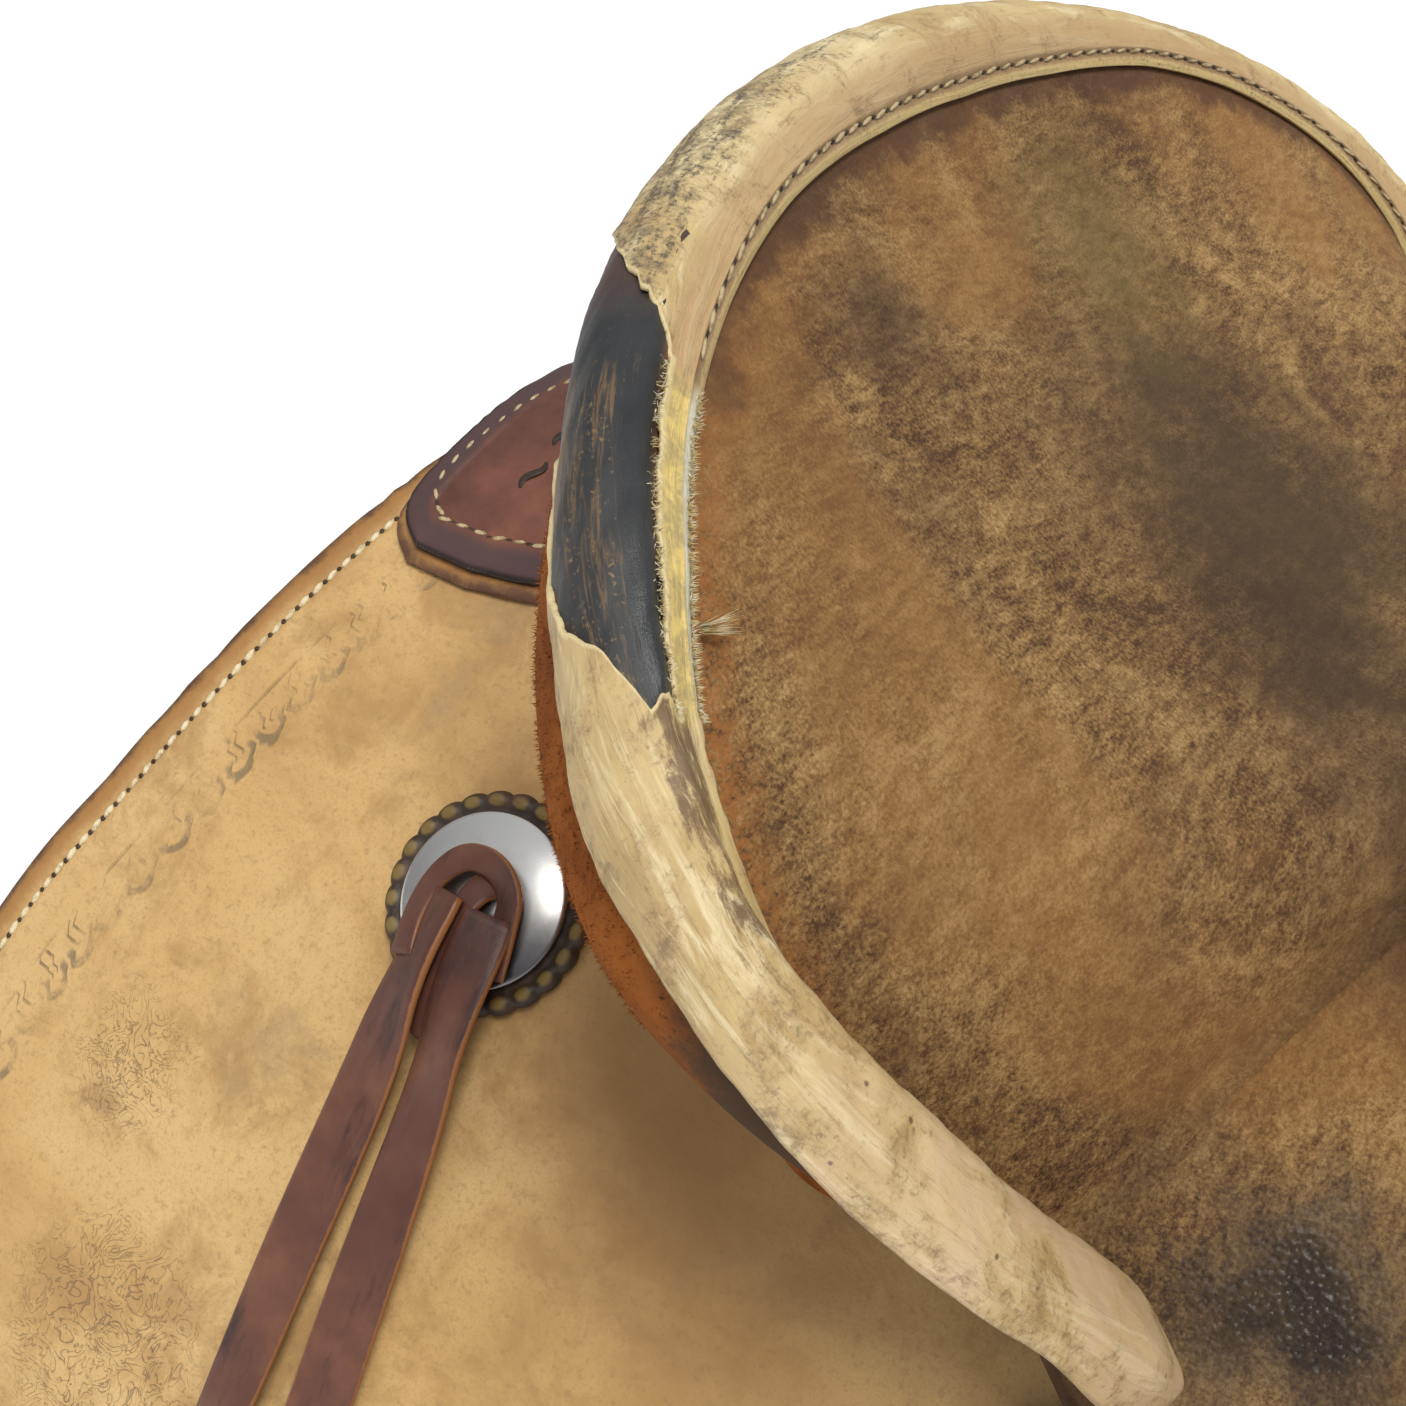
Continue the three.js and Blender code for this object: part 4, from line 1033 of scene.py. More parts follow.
rough_finish = rough_out()
rows, columns = seat_loop.shape
seat_verts = np.vstack([seat_top.reshape(-1, 3), seat_under.reshape(-1, 3)])
seat_faces = grid_faces(rows, columns, wrap_rows=True)
seat_faces += [[q + seat_loop.size for q in reversed(face)] for face in seat_faces]
for i in range(rows):
    a, b = i * columns + columns - 1, ((i + 1) % rows) * columns + columns - 1
    seat_faces.append([a, b, b + seat_loop.size, a + seat_loop.size])
seat = mesh_piece("seat_cover", seat_verts, seat_faces, rough_finish)
note(seat, "out", np.concatenate([seat_out.ravel(), seat_out.ravel()]))
note(seat, "free", np.tile(ease(np.minimum(seat_loop, 1 - seat_loop), 0.235, 0.27).ravel(), 2))
outward(seat)
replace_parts(seat, "seat_leather")

# ---------- cantle back ----------
# Orange suede, stretched over the back of the cantle and caught under the binding's rear edge.
# It bulges just below the binding, then slopes in to the skirts.
BACK_REACH = 0.93


def cantle_back_at(t, w):
    s = np.abs(t)
    top = off_rim(t, 5.0 + 0.8 * back_swell(t), -5.5 + 3.0 * ease(s, 0.56, 0.70))
    foot_x = -178 + 0.9 * (off_rim(t, 2, -10.4)[..., 0] + 200)
    foot = on_back(foot_x, (0.72 - 0.1 * ease(s, 0.35, 0.7)) * rim(t)[..., 1], 6.5)
    bulge = (12.8 - 10.5 * ease(s, 0.62, 0.86)) * np.sin(np.pi * np.minimum(1, w * 2.6)) * (w < 1 / 2.6)
    tuck = -16 * ease(s, 0.5, 0.75) * np.sin(np.pi * np.clip((w - 0.25) / 0.75, 0, 1))
    return top + (foot - top) * w[..., None] + rim_frame(t)[1] * (np.maximum(0, bulge) + tuck)[..., None]


back_t, back_w = np.meshgrid(
    np.linspace(-BACK_REACH, BACK_REACH, 240), np.linspace(0, 1, 60) ** 1.2, indexing="ij"
)
back_outer = cantle_back_at(back_t, back_w)
back_inner = back_outer - rim_frame(back_t)[1] * 4


def orange_suede():
    f = Finish("orange_suede", 0.95, Specular_IOR_Level=0.15)
    blotch = f.noise(40, 7, 0.7, distortion=0.5)
    nap = f.noise(850, 6, 0.8)
    base = f.ramp(
        blotch, (0.32, (0.20, 0.055, 0.010)), (0.5, (0.36, 0.105, 0.018)), (0.7, (0.50, 0.17, 0.030))
    )
    base = f.mix(f.step(nap, 0.46, 0.34), base, (0.09, 0.025, 0.006))
    aged = f.times_plus(f.noise(90, 6, 0.7), -0.12, f.math("ABSOLUTE", f.noted("along")))
    base = f.over(base, f.step(aged, 0.60, 0.66), 0.92, (0.085, 0.058, 0.038))
    return f.coat_of(base, ((blotch, 1.0, 0.4), (nap, 0.6, 1.0)), f.times_plus(nap, 0.2, 0.8))


suede_finish = orange_suede()
verts, faces = close_sheet(back_outer, back_inner)
cantle_back = mesh_piece("cantle_back_cover", verts, faces, suede_finish)
note(cantle_back, "along", np.tile(back_t.ravel(), 2))
outward(cantle_back)
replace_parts(cantle_back, "cantle_back")

# Its nap stands up in short orange fibres where it curves round below the binding.
count = 16000
NAP_SIZE = (0.62, 0.17, 0.17)
nap_t = chance.uniform(-0.66, 0.66, count)
nap_w = chance.uniform(0.0, 0.42, count)
nap_at = cantle_back_at(nap_t, nap_w)
nap_across = cantle_back_at(nap_t, nap_w + 0.01) - nap_at
nap_along = cantle_back_at(nap_t + 0.005, nap_w) - nap_at
nap_off = unit(np.cross(nap_along, nap_across))
nap_off = np.where((nap_off * rim_frame(nap_t)[1]).sum(-1, keepdims=True) < 0, -nap_off, nap_off)
nap_head = unit(nap_off + chance.normal(0, 0.45, (count, 3)))


def orange_nap():
    f = Finish("orange_nap", 0.9, Specular_IOR_Level=0.1)
    colour = f.ramp(f.noise(700, 3), (0.35, (0.22, 0.06, 0.012)), (0.6, (0.45, 0.16, 0.035)))
    return f.coat_of(colour, ((f.noise(2500, 2), 0.05, 0.3),))


beads(
    hair_tree, "cantle_back_nap", nap_at + nap_head * 0.1, nap_head, nap_off, NAP_SIZE, orange_nap(),
    uneven=0.5,
)

# The board behind is laminated maple, cut to the cantle's curve and hidden between seat and suede.
BOARD_REACH = 0.66
board_t, board_w = np.meshgrid(
    np.linspace(-BOARD_REACH, BOARD_REACH, 60), np.linspace(0, 1, 12), indexing="ij"
)
board_loop = np.where(board_t <= 0, -board_t / 4, 1 - board_t / 4) % 1
board_front = seat_at(
    board_loop, 0.93 - 0.17 * board_w
) - seat_normal(board_loop, 0.93 - 0.17 * board_w) * 9
board_back = cantle_back_at(board_t, 0.16 + 0.46 * board_w) - rim_frame(board_t)[1] * 8


def maple():
    f = Finish("maple_board", 0.6, Specular_IOR_Level=0.35)
    grain = f.noise(40, 7, 0.65, distortion=1.2, stretch=(1, 0.15, 1))
    base = f.ramp(grain, (0.35, (0.34, 0.19, 0.085)), (0.6, (0.50, 0.31, 0.15)))
    return f.coat_of(base, ((grain, 0.3, 0.4),), f.times_plus(grain, 0.3, 0.4))


wood_finish = maple()
verts, faces = close_sheet(board_front, board_back)
board = outward(mesh_piece("cantle_board_maple", verts, faces, wood_finish))
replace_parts(board, "cantle_board")

# ---------- skirts ----------
# Heavy tan leather, sewn to the sheepskin round the edge and stamped with a worn border.
# The stitches lie in a shallow groove, so that the thread doesn't wear through.
SKIRT_REAR = [
    (-278, 2), (-284, 26), (-294, 48), (-309, 81), (
        -321, 109
    ), (-334, 138), (-342, 172), (-336, 208), (-312, 230), (-286, 238),
]
SKIRT_FRONT = [(282, 46), (306, 62), (326, 100), (336, 145), (336, 190), (322, 222), (284, 236)]
LEATHER, STITCH_INSET = 5.0, 6.6


def outline_of(rear, front, count=220):
    """The free edge: down the rear, along the hem, up the front."""
    s = np.linspace(0, 1, count)
    return np.vstack([spline_at(rear, s), spline_at(front, s[::-1])])


def edge_distance(points, line, step=2.0):
    """Distance in millimetres to a line, and how far along it the nearest point is."""
    lengths = np.concatenate([[0], np.cumsum(np.linalg.norm(np.diff(line, axis=0), axis=1))])
    at = np.arange(0, lengths[-1], step)
    dense = np.stack([np.interp(at, lengths, line[:, k]) for k in range(line.shape[1])], -1)
    near, along = np.full(len(points), 1e9), np.zeros(len(points))
    for first in range(0, len(points), 4000):
        part = points[first:first + 4000]
        d = np.linalg.norm(part[:, None] - dense[None], axis=-1)
        near[first:first + 4000] = d.min(1)
        along[first:first + 4000] = at[d.argmin(1)]
    return near, along


def skirt_leather():
    f = Finish("buckskin_tan_leather", 0.6, Specular_IOR_Level=0.4)
    wide = f.noise(11, 6, 0.6, distortion=0.5)
    mottle = f.noise(45, 7, 0.68, distortion=0.4)
    pore = f.noise(520, 5, 0.75)
    sand = f.noise(1500, 3, 0.7)
    edge, along = f.noted("edge"), f.noted("along")
    base = f.ramp(wide, (0.3, (0.42, 0.235, 0.08)), (0.5, (0.59, 0.37, 0.145)), (0.7, (0.68, 0.47, 0.215)))
    base = f.over(base, f.step(mottle, 0.44, 0.66), 0.7, (0.37, 0.205, 0.072))
    base = f.over(base, f.step(f.noise(19, 7, 0.7), 0.56, 0.72), 0.5, (0.27, 0.20, 0.11))
    # painted shadow: a darker patch on the skirt just below the cantle, where the cantle's shadow falls
    base = f.over(base, f.near((-165, -112, -45), 46, 0.95, 0.5), 0.6, (0.30, 0.155, 0.055))
    base = f.over(base, f.step(pore, 0.52, 0.68), 0.45, (0.30, 0.17, 0.07))
    base = f.over(base, f.step(sand, 0.5, 0.66), 0.35, (0.36, 0.21, 0.085))
    # border of worn crescents inside a creased line, well in from the edge
    cell = f.times(along, 1 / 0.0078)
    across = f.math("DIVIDE", f.math("SUBTRACT", edge, 0.0225), 0.0046)
    x = f.times(f.math("SUBTRACT", f.math("FRACT", cell), 0.5), 2.0)
    r = f.math("SQRT", f.math("ADD", f.math("POWER", x, 2.0), f.math("POWER", across, 2.0)))
    ring = f.step(f.gap(r, 0.72), 0.26, 0.08)
    bars = f.step(f.gap(f.math("FRACT", f.times(cell, 4.0)), 0.5), 0.16, 0.06)
    bars = f.times(bars, f.step(f.gap(across, -0.1), 1.25, 0.9))
    crescent = f.times(ring, f.step(across, -0.35, 0.05))
    bars = f.times(bars, f.step(f.math("ABSOLUTE", x), 0.62, 0.45))
    stamp = f.math("MAXIMUM", crescent, f.times(bars, f.step(across, 0.1, -0.1)))
    stamp = f.times(stamp, f.step(f.noise(60, 5, 0.7), 0.40, 0.62))
    base = f.over(base, stamp, 0.75, (0.17, 0.125, 0.072))
    # worn scroll stamping in the corners
    scroll = f.step(f.gap(f.noise(130, 1, 0.4, distortion=4.5), 0.5), 0.035, 0.008)
    panel = f.near((-262, -178, -130), 34, 0.6, 0.4, 80)
    panel = f.math("MAXIMUM", panel, f.near((-262, 178, -130), 34, 0.6, 0.4, 80))
    panel = f.math("MAXIMUM", panel, f.near((-283, -146, -85), 20, 0.7, 0.5, 80))
    scroll = f.times(f.times(scroll, panel), f.step(pore, 0.36, 0.55))
    base = f.over(base, scroll, 0.5, (0.22, 0.14, 0.08))
    rub = f.times_plus(f.noise(140, 6, 0.7), 0.006, edge)
    base = f.over(base, f.step(rub, 0.0115, 0.0055), 0.9, (0.33, 0.155, 0.04))
    base = f.mix(f.step(rub, 0.0058, 0.0032), base, (0.11, 0.05, 0.025))
    line = f.step(f.gap(edge, 0.0165), 0.0005, 0.0001)
    line = f.times(line, f.step(f.noise(50, 5, 0.7), 0.40, 0.6))
    base = f.over(base, line, 0.5, (0.28, 0.17, 0.08))
    dents = f.math("SUBTRACT", 0.0, f.math("MAXIMUM", f.math("MAXIMUM", stamp, line), scroll))
    gloss = f.times_plus(mottle, 0.3, 0.42)
    return f.coat_of(
        base, ((mottle, 0.6, 0.3), (dents, 0.5, 0.8), (pore, 0.22, 0.6), (sand, 0.08, 0.6)), gloss
    )


skirt_finish = skirt_leather()


def bunched(count, pull=0.75):
    """0 to 1, closer together at both ends."""
    s = np.linspace(0, 1, count)
    return (1 - pull) * s + pull * (0.5 - 0.5 * np.cos(np.pi * s))


def back_sheet(side, rear, front, u, v, h):
    """A sheet h off the saddle's back between a rear and a front line; also its flat places."""
    a, b = spline_at(rear, v), spline_at(front, v)
    p = a + (b - a) * u[..., None]
    return on_back(p[..., 0], side * p[..., 1], h), p


for hand, side in (("right", -1), ("left", 1)):
    U, V = np.meshgrid(bunched(250), bunched(110), indexing="ij")
    _, flat = back_sheet(side, SKIRT_REAR, SKIRT_FRONT, U, V, np.zeros_like(U))
    near, along = edge_distance(flat.reshape(-1, 2), outline_of(SKIRT_REAR, SKIRT_FRONT))
    near = near.reshape(U.shape)
    sag = 0.5 * ripple(
        flat[..., 0] * 0.03 + flat[..., 1] * 0.021, 0.8 + side, ((1, 1), (2.3, 0.6), (4.1, 0.4))
    )
    rounding = 1.1 * np.clip(1 - near / 2.2, 0, 1) ** 2
    channel = 0.6 * np.exp(-(((near - STITCH_INSET) / 1.0) ** 2))
    lie = -rounding - channel + np.minimum(sag * ease(near, 8, 40), 0)
    top, _ = back_sheet(side, SKIRT_REAR, SKIRT_FRONT, U, V, lie)
    under, _ = back_sheet(
        side, SKIRT_REAR, SKIRT_FRONT, U, V, -LEATHER + 0.6 * np.clip(1 - near / 2.2, 0, 1)
    )
    verts, faces = close_sheet(top, under)
    skirt = mesh_piece(f"skirt_leather_{hand}", verts, faces, skirt_finish)
    note(skirt, "edge", np.tile(near.ravel() * mm, 2))
    note(skirt, "along", np.tile(along * mm, 2))
    outward(skirt)
    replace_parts(skirt, f"skirt_{hand}")


def inset_line(line, distance):
    """A flat outline moved inwards, towards the middle of the skirt."""
    ahead = np.gradient(line, axis=0)
    inward = unit(np.stack([-ahead[:, 1], ahead[:, 0]], -1))
    middle = line.mean(0)
    flip = np.sign(((middle - line) * inward).sum(1).mean())
    return line + inward * flip * distance


def row_on_back(name, side, flat, h, **look):
    """A stitched row along a flat outline, laid on the saddle's back h above the skirt."""
    line = on_back(flat[:, 0], side * flat[:, 1], np.full(len(flat), float(h)))

    def facing(share):
        x, y = (np.interp(share, np.linspace(0, 1, len(flat)), flat[:, k]) for k in (0, 1))
        return back_normal(x, side * y)

    seam_stitches(name, line, facing, **look)


for hand, side in (("right", -1), ("left", 1)):
    outline = outline_of(SKIRT_REAR, SKIRT_FRONT, 900)
    row_on_back(
        f"skirt_stitches_{hand}", side, inset_line(outline, STITCH_INSET), -0.45,
        gap=4.4, size=(3.5, 1.6, 1.2), sink=-0.1, slot="skirt_leather", thread=cream_thread,
    )

# ---------- joining plate ----------
# A dark plate of bridle leather, sewn over the gap between the skirts and laced through slits.
# A thinner tan leaf under it shows as a light edge.
PLATE_MIDDLE, PLATE_HALF, PLATE_INSET = np.array([-252.0, 0]), 32, 7.2
PLATE_REAR = [(-278, -56.5), (-286, -49), (-283, -27), (-279, 0), (-283, 27), (-286, 49), (-278, 56.5)]
PLATE_FRONT = [(-262, -56), (-236, -49), (-222, -27), (-219, 0), (-222, 27), (-236, 49), (-262, 56)]


def plate_outline(count):
    s = np.linspace(0, 1, count)
    ring = np.vstack([spline_at(PLATE_REAR, s), spline_at(PLATE_FRONT, s[::-1])])
    return np.vstack([ring, ring[:1]])


def plate_leather():
    f = Finish("dark_bridle_leather", 0.5, Specular_IOR_Level=0.45)
    edge = f.noted("edge")
    wide = f.noise(45, 6, 0.65)
    fine = f.noise(900, 4, 0.7)
    base = f.ramp(
        wide, (0.3, (0.075, 0.026, 0.018)), (0.52, (0.145, 0.050, 0.030)), (0.72, (0.24, 0.080, 0.040))
    )
    rim_shade = f.times_plus(f.noise(110, 5, 0.7), 0.003, edge)
    base = f.over(base, f.step(rim_shade, 0.0085, 0.0055), 0.85, (0.060, 0.035, 0.036))
    base = f.mix(f.step(edge, 0.0011, 0.0004), base, (0.022, 0.012, 0.010))
    return f.coat_of(base, ((wide, 0.6, 0.3), (fine, 0.1, 0.5)), f.times_plus(wide, 0.25, 0.32))


def plate_layer(name, grow, low, high, paint):
    u, v = np.meshgrid(bunched(70), bunched(130), indexing="ij")
    rear, front = spline_at(PLATE_REAR, v), spline_at(PLATE_FRONT, v)
    flat = rear + (front - rear) * u[..., None]
    wider = 1 + grow / PLATE_HALF
    flat = PLATE_MIDDLE + (flat - PLATE_MIDDLE) * wider
    edge_line = PLATE_MIDDLE + (plate_outline(260) - PLATE_MIDDLE) * wider
    near, _ = edge_distance(flat.reshape(-1, 2), edge_line, 1.0)
    near = near.reshape(u.shape)
    rounding = 0.8 * np.clip(1 - near / 1.6, 0, 1) ** 2
    channel = 0.35 * np.exp(-(((near - PLATE_INSET) / 0.9) ** 2)) * (grow == 0)
    top = on_back(flat[..., 0], flat[..., 1], high - rounding - channel)
    under = on_back(flat[..., 0], flat[..., 1], low)
    verts, faces = close_sheet(top, under)
    made = mesh_piece(name, verts, faces, paint)
    note(made, "edge", np.tile(near.ravel() * mm, 2))
    return outward(made)


plate_finish = plate_leather()
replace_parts(plate_layer("joining_plate_cover", 0, 2.2, 4.8, plate_finish), "joining_plate")
plate_layer("joining_plate_leaf", 1.6, 0.5, 2.1, skirt_finish)
ring = plate_outline(260)
pulled = ring + unit(PLATE_MIDDLE - ring) * PLATE_INSET
row_on_back(
    "plate_stitches", 1, pulled, 4.55, gap=5.0, size=(3.6, 1.15, 0.8), sink=0.0, slot="dark_leather"
)

# The lacing goes in and out of pairs of slits and shows as small dark twists of thong.
thong_finish = plain_thread("dark_thong", (0.020, 0.012, 0.008), (0.045, 0.026, 0.014))
for row, x in enumerate((-262, -246)):
    for k in range(-3, 4):
        y = 11.5 * k + (4 if row else 0)
        s = np.linspace(-1, 1, 24)
        flat_x, flat_y = x + 1.3 * np.sin(s * 2.6), y + 3.6 * s
        line = on_back(flat_x, flat_y, 4.75 + 0.25 * np.cos(s * np.pi))
        across = np.tile([1.0, 0.2, 0], (24, 1))
        thong_width = 1.9 * (1 - 0.6 * np.abs(s) ** 3)
        label = f"plate_thong_{row + 1}_{k + 4}"
        strip(label, line, across, thong_width, 0.9, thong_finish)

# ---------- rosettes, conchos and knots ----------
# Each concho is a slotted disc of domed nickel on a scalloped leather rosette.
# A latigo string comes up through the slots and is locked with a bleed knot.
CONCHO_RADIUS, ROSETTE_RADIUS, SCALLOPS, ROSETTE_TURNS, CONCHO_LIFT = 19.0, 24.0, 24, 192, 4.35


def spot_frame(side, x, y):
    """Forward, down the slope and off the saddle, at a place on its side."""
    off = back_normal(np.float64(x), np.float64(side * y))
    down = side * np.cross(off, [1.0, 0, 0])
    down /= np.linalg.norm(down)
    return np.cross(down, off) * side, down, off


def laid_on(local, side, x, y, h):
    """Points given as forward, down the slope and off, moved to a place h above the skirt."""
    forward, down, off = spot_frame(side, x, y)
    local = np.asarray(local, float)
    place = on_back(np.float64(x), np.float64(side * y), h)
    return place + local[..., :1] * forward + local[..., 1:2] * down + local[..., 2:] * off


def rosette_leather():
    f = Finish("rosette_leather", 0.55, Specular_IOR_Level=0.45)
    bead = f.noted("bead")
    cloud = f.noise(90, 6, 0.7)
    base = f.mix(
        f.step(f.times_plus(cloud, 0.5, bead), 0.55, 0.95), (0.035, 0.022, 0.014), (0.20, 0.13, 0.032)
    )
    base = f.over(base, f.step(cloud, 0.5, 0.7), 0.6, (0.10, 0.045, 0.022))
    return f.coat_of(
        base, ((cloud, 0.5, 0.4), (f.noise(800, 4, 0.7), 0.1, 0.5)), f.times_plus(cloud, 0.3, 0.35)
    )


def nickel():
    f = Finish("worn_nickel", 0.22, Metallic=1.0)
    cloud = f.noise(60, 5, 0.6)
    scratch = f.noise(700, 4, 0.7, stretch=(1, 0.08, 0.3))
    base = f.mix(f.step(cloud, 0.5, 0.75), (0.68, 0.665, 0.65), (0.55, 0.51, 0.44))
    # painted reflection: the 'low' value paints each concho darker towards its front and lower edge, like a
    # dark room mirrored there; the cloud mottles it a little
    painted_dark_reflection = f.times_plus(cloud, 0.5, f.noted("low"))
    base = f.over(base, f.step(painted_dark_reflection, 0.25, 1.0), 0.85, (0.10, 0.09, 0.105))
    return f.coat_of(base, ((scratch, 0.02, 0.25),), f.times_plus(cloud, 0.22, 0.16))


rosette_finish, nickel_finish = rosette_leather(), nickel()


def disc(radii, heights, turns, edge=None, under=0.0):
    """A closed turned disc; edge(angle) scales the outer radii."""
    angle = np.linspace(0, 2 * np.pi, turns, endpoint=False)
    r, a = np.meshgrid(np.asarray(radii, float), angle, indexing="ij")
    z = np.tile(np.asarray(heights, float)[:, None], (1, turns))
    if edge is not None:
        r = r * (1 + (edge(a) - 1) * (r / r.max()) ** 6)
    top = np.stack([r * np.cos(a), r * np.sin(a), z], -1).reshape(-1, 3)
    count = len(top)
    verts = np.vstack([top, [[0, 0, heights[0]], [0, 0, under]]])
    faces = [list(reversed(face)) for face in grid_faces(len(radii), turns, wrap_columns=True)]
    last = (len(radii) - 1) * turns
    for k in range(turns):
        n = (k + 1) % turns
        faces.append([k, n, count])
        faces.append([last + n, last + k, count + 1])
    return verts, faces, r, a


def scallop(angle):
    return 1 - 0.034 + 0.034 * np.abs(np.sin(angle * SCALLOPS / 2)) ** 0.7


# The knot's band crosses over the disc and its slit end comes up through the middle.
BAND = np.array([
    (11, 13, 4.6), (10.5, 5, 6.6), (8.5, -3, 7.2), (3, -7.2, 7.8), (-4, -6.6, 7.8), (-8.6, -0.6, 7.0),
    (-9.6, 8, 6.8), (-7.5, 17, 7.6),
])
CENTRE = np.array(
    [(4, -5.6, 3.8), (1.2, -1.5, 6.6), (0.4, 4.5, 8.0), (1.8, 12, 7.8), (2.2, 20, 6.4), (-0.5, 30, 2.5)]
)
for hand, side in (("right", -1), ("left", 1)):
    for place, (x, y) in CONCHO_SPOTS.items():
        radii = [0.5, 12, 17.5, 19.6, 20.4, 21.4, 22.6, 23.4, 23.9, ROSETTE_RADIUS, 23.9, 23.4, 0.5]
        heights = [3.1, 3.1, 3.0, 2.7, 2.9, 3.3, 3.2, 2.7, 2.1, 1.5, 0.7, 0, 0]
        verts, faces, r, a = disc(radii, heights, ROSETTE_TURNS, scallop)
        bead = np.exp(-(((r - 21.7) / 1.5) ** 2)) * np.abs(np.sin(a * SCALLOPS / 2)) ** 1.2
        rings = len(radii)
        lift = np.zeros(len(verts))
        on_top = np.where(np.arange(rings)[:, None] < 9, 1.0, 0.0)
        lift[:rings * ROSETTE_TURNS] = (on_top * (bead - 0.4) * 0.9).ravel() * (r.ravel() > 19.8)
        verts[:, 2] += lift
        label = f"scalloped_rosette_{place}_{hand}"
        rosette = mesh_piece(
            label, laid_on(verts, side, x, y, 0.9), faces, rosette_finish
        )
        note(rosette, "bead", np.append(bead.ravel(), [0, 0]))
        outward(rosette)
        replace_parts(rosette, f"rosette_{place}_{hand}")
        radii = [0.4, 4, 8, 12, 15, 16.8, 17.9, 18.6, CONCHO_RADIUS, 18.8, 18.0, 0.4]
        heights = [4.6, 4.5, 4.1, 3.4, 2.6, 1.95, 1.5, 1.35, 0.8, 0.25, 0, 0]
        verts, faces, *_ = disc(radii, heights, 96)
        label = f"nickel_concho_{place}_{hand}"
        concho = mesh_piece(
            label, laid_on(verts, side, x, y, CONCHO_LIFT), faces, nickel_finish
        )
        # the 'low' value grows towards the concho's front and lower edge, for its painted dark reflection
        note(concho, "low", verts @ np.array([0.5, 0.62, 0]) / CONCHO_RADIUS)
        outward(concho)
        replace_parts(concho, f"concho_{place}_{hand}")
        for part, points, width, tilt in (("band", BAND, 6.4, 0.5), ("slit", CENTRE, 6.0, -0.2)):
            if place == "front" and part == "slit":
                continue
            route = laid_on(smooth_line(points, 46), side, x, y, CONCHO_LIFT)
            _, _, off = spot_frame(side, x, y)
            flat = unit(np.cross(np.gradient(route, axis=0), off))
            lean = tilt * np.sin(np.linspace(0, 5, 46))[:, None]
            shape = width * (1 + 0.12 * np.sin(np.linspace(0.5, 7, 46)))
            label = f"knot_{part}_{place}_{hand}"
            strip(label, route, flat + off * lean, shape, 2.0, latigo_finish)

# ---------- sheepskins ----------
# Woolskin with the fleece down, sewn to the skirts; its clipped edge shows all round below them.
# Tufts of wool stand out along that edge and all over the underside.
WOOL, WOOL_TOP, TUFTS = 16.0, 6.4, 5200


def fleece():
    f = Finish("fleece", 0.95, Specular_IOR_Level=0.15)
    clump = f.noise(120, 6, 0.7, distortion=0.5)
    base = f.ramp(clump, (0.32, (0.42, 0.32, 0.18)), (0.5, (0.68, 0.57, 0.39)), (0.68, (0.86, 0.78, 0.60)))
    base = f.over(base, f.step(f.noise(14, 5, 0.6), 0.5, 0.7), 0.4, (0.42, 0.33, 0.20))
    return f.coat_of(
        base, ((clump, 1.6, 0.7), (f.noise(600, 5, 0.75), 0.5, 0.8)), f.times_plus(clump, 0.1, 0.88)
    )


fleece_finish = fleece()


def clipped(line, by=3, middle_y=120):
    """A skirt's line drawn in on every side, as the wool is clipped back."""
    return [(x - np.sign(x) * by, y - np.sign(y - middle_y) * min(by, abs(y - middle_y))) for x, y in line]


pulled_in = [clipped(line) for line in (SKIRT_REAR, SKIRT_FRONT)]
for hand, side in (("right", -1), ("left", 1)):
    U, V = np.meshgrid(bunched(130), bunched(70), indexing="ij")
    _, flat = back_sheet(side, *pulled_in, U, V, np.zeros_like(U))
    near, _ = edge_distance(flat.reshape(-1, 2), outline_of(*pulled_in))
    near = near.reshape(U.shape)
    lumps = chance.normal(0, 0.9, U.shape)
    thick = (WOOL + 2.2) * (1 - 0.45 * np.clip(1 - near / 9, 0, 1) ** 2) + lumps
    top, _ = back_sheet(side, *pulled_in, U, V, np.full_like(U, -WOOL_TOP + 0.7))
    under, _ = back_sheet(side, *pulled_in, U, V, -WOOL_TOP - thick)
    verts, faces = close_sheet(top, under)
    skin_piece = mesh_piece(f"woolskin_{hand}", verts, faces, fleece_finish)
    outward(skin_piece)
    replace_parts(skin_piece, f"sheepskin_{hand}")
    ring = outline_of(*pulled_in, 420)
    ring_ahead = np.gradient(ring, axis=0)
    outwards = unit(np.stack([ring_ahead[:, 1], -ring_ahead[:, 0]], -1))
    outwards *= np.sign(((ring - ring.mean(0)) * outwards).sum(1).mean())
    pick = chance.integers(0, len(ring), TUFTS)
    depth_down = chance.uniform(0.5, 14.5, TUFTS)
    at = on_back(ring[pick, 0], side * ring[pick, 1], -WOOL_TOP - depth_down)
    away = np.stack([outwards[pick, 0], side * outwards[pick, 1], np.zeros(TUFTS)], -1)
    away = unit(away + chance.normal(0, 0.5, (TUFTS, 3)))
    below_x, below_y = chance.uniform(-300, 300, TUFTS), chance.uniform(30, 215, TUFTS)
    below = on_back(below_x, side * below_y, np.full(TUFTS, -WOOL_TOP - WOOL - 0.8))
    down = unit(-back_normal(below_x, side * below_y) + chance.normal(0, 0.5, (TUFTS, 3)))
    beads(
        hair_tree, f"wool_tufts_{hand}", np.vstack([at, below]), np.vstack([away, down]),
        np.tile(
            [0, 0, 1.0], (2 * TUFTS, 1)
        ), (4.6, 2.4, 2.4), fleece_finish, uneven=0.5, seed=7,
    )

# ---------- tree ----------
# The frame under the leather: two wooden bars, a steel ground seat and the horn's iron.
# They keep the shapes of the frame's own parts and get their finish here.


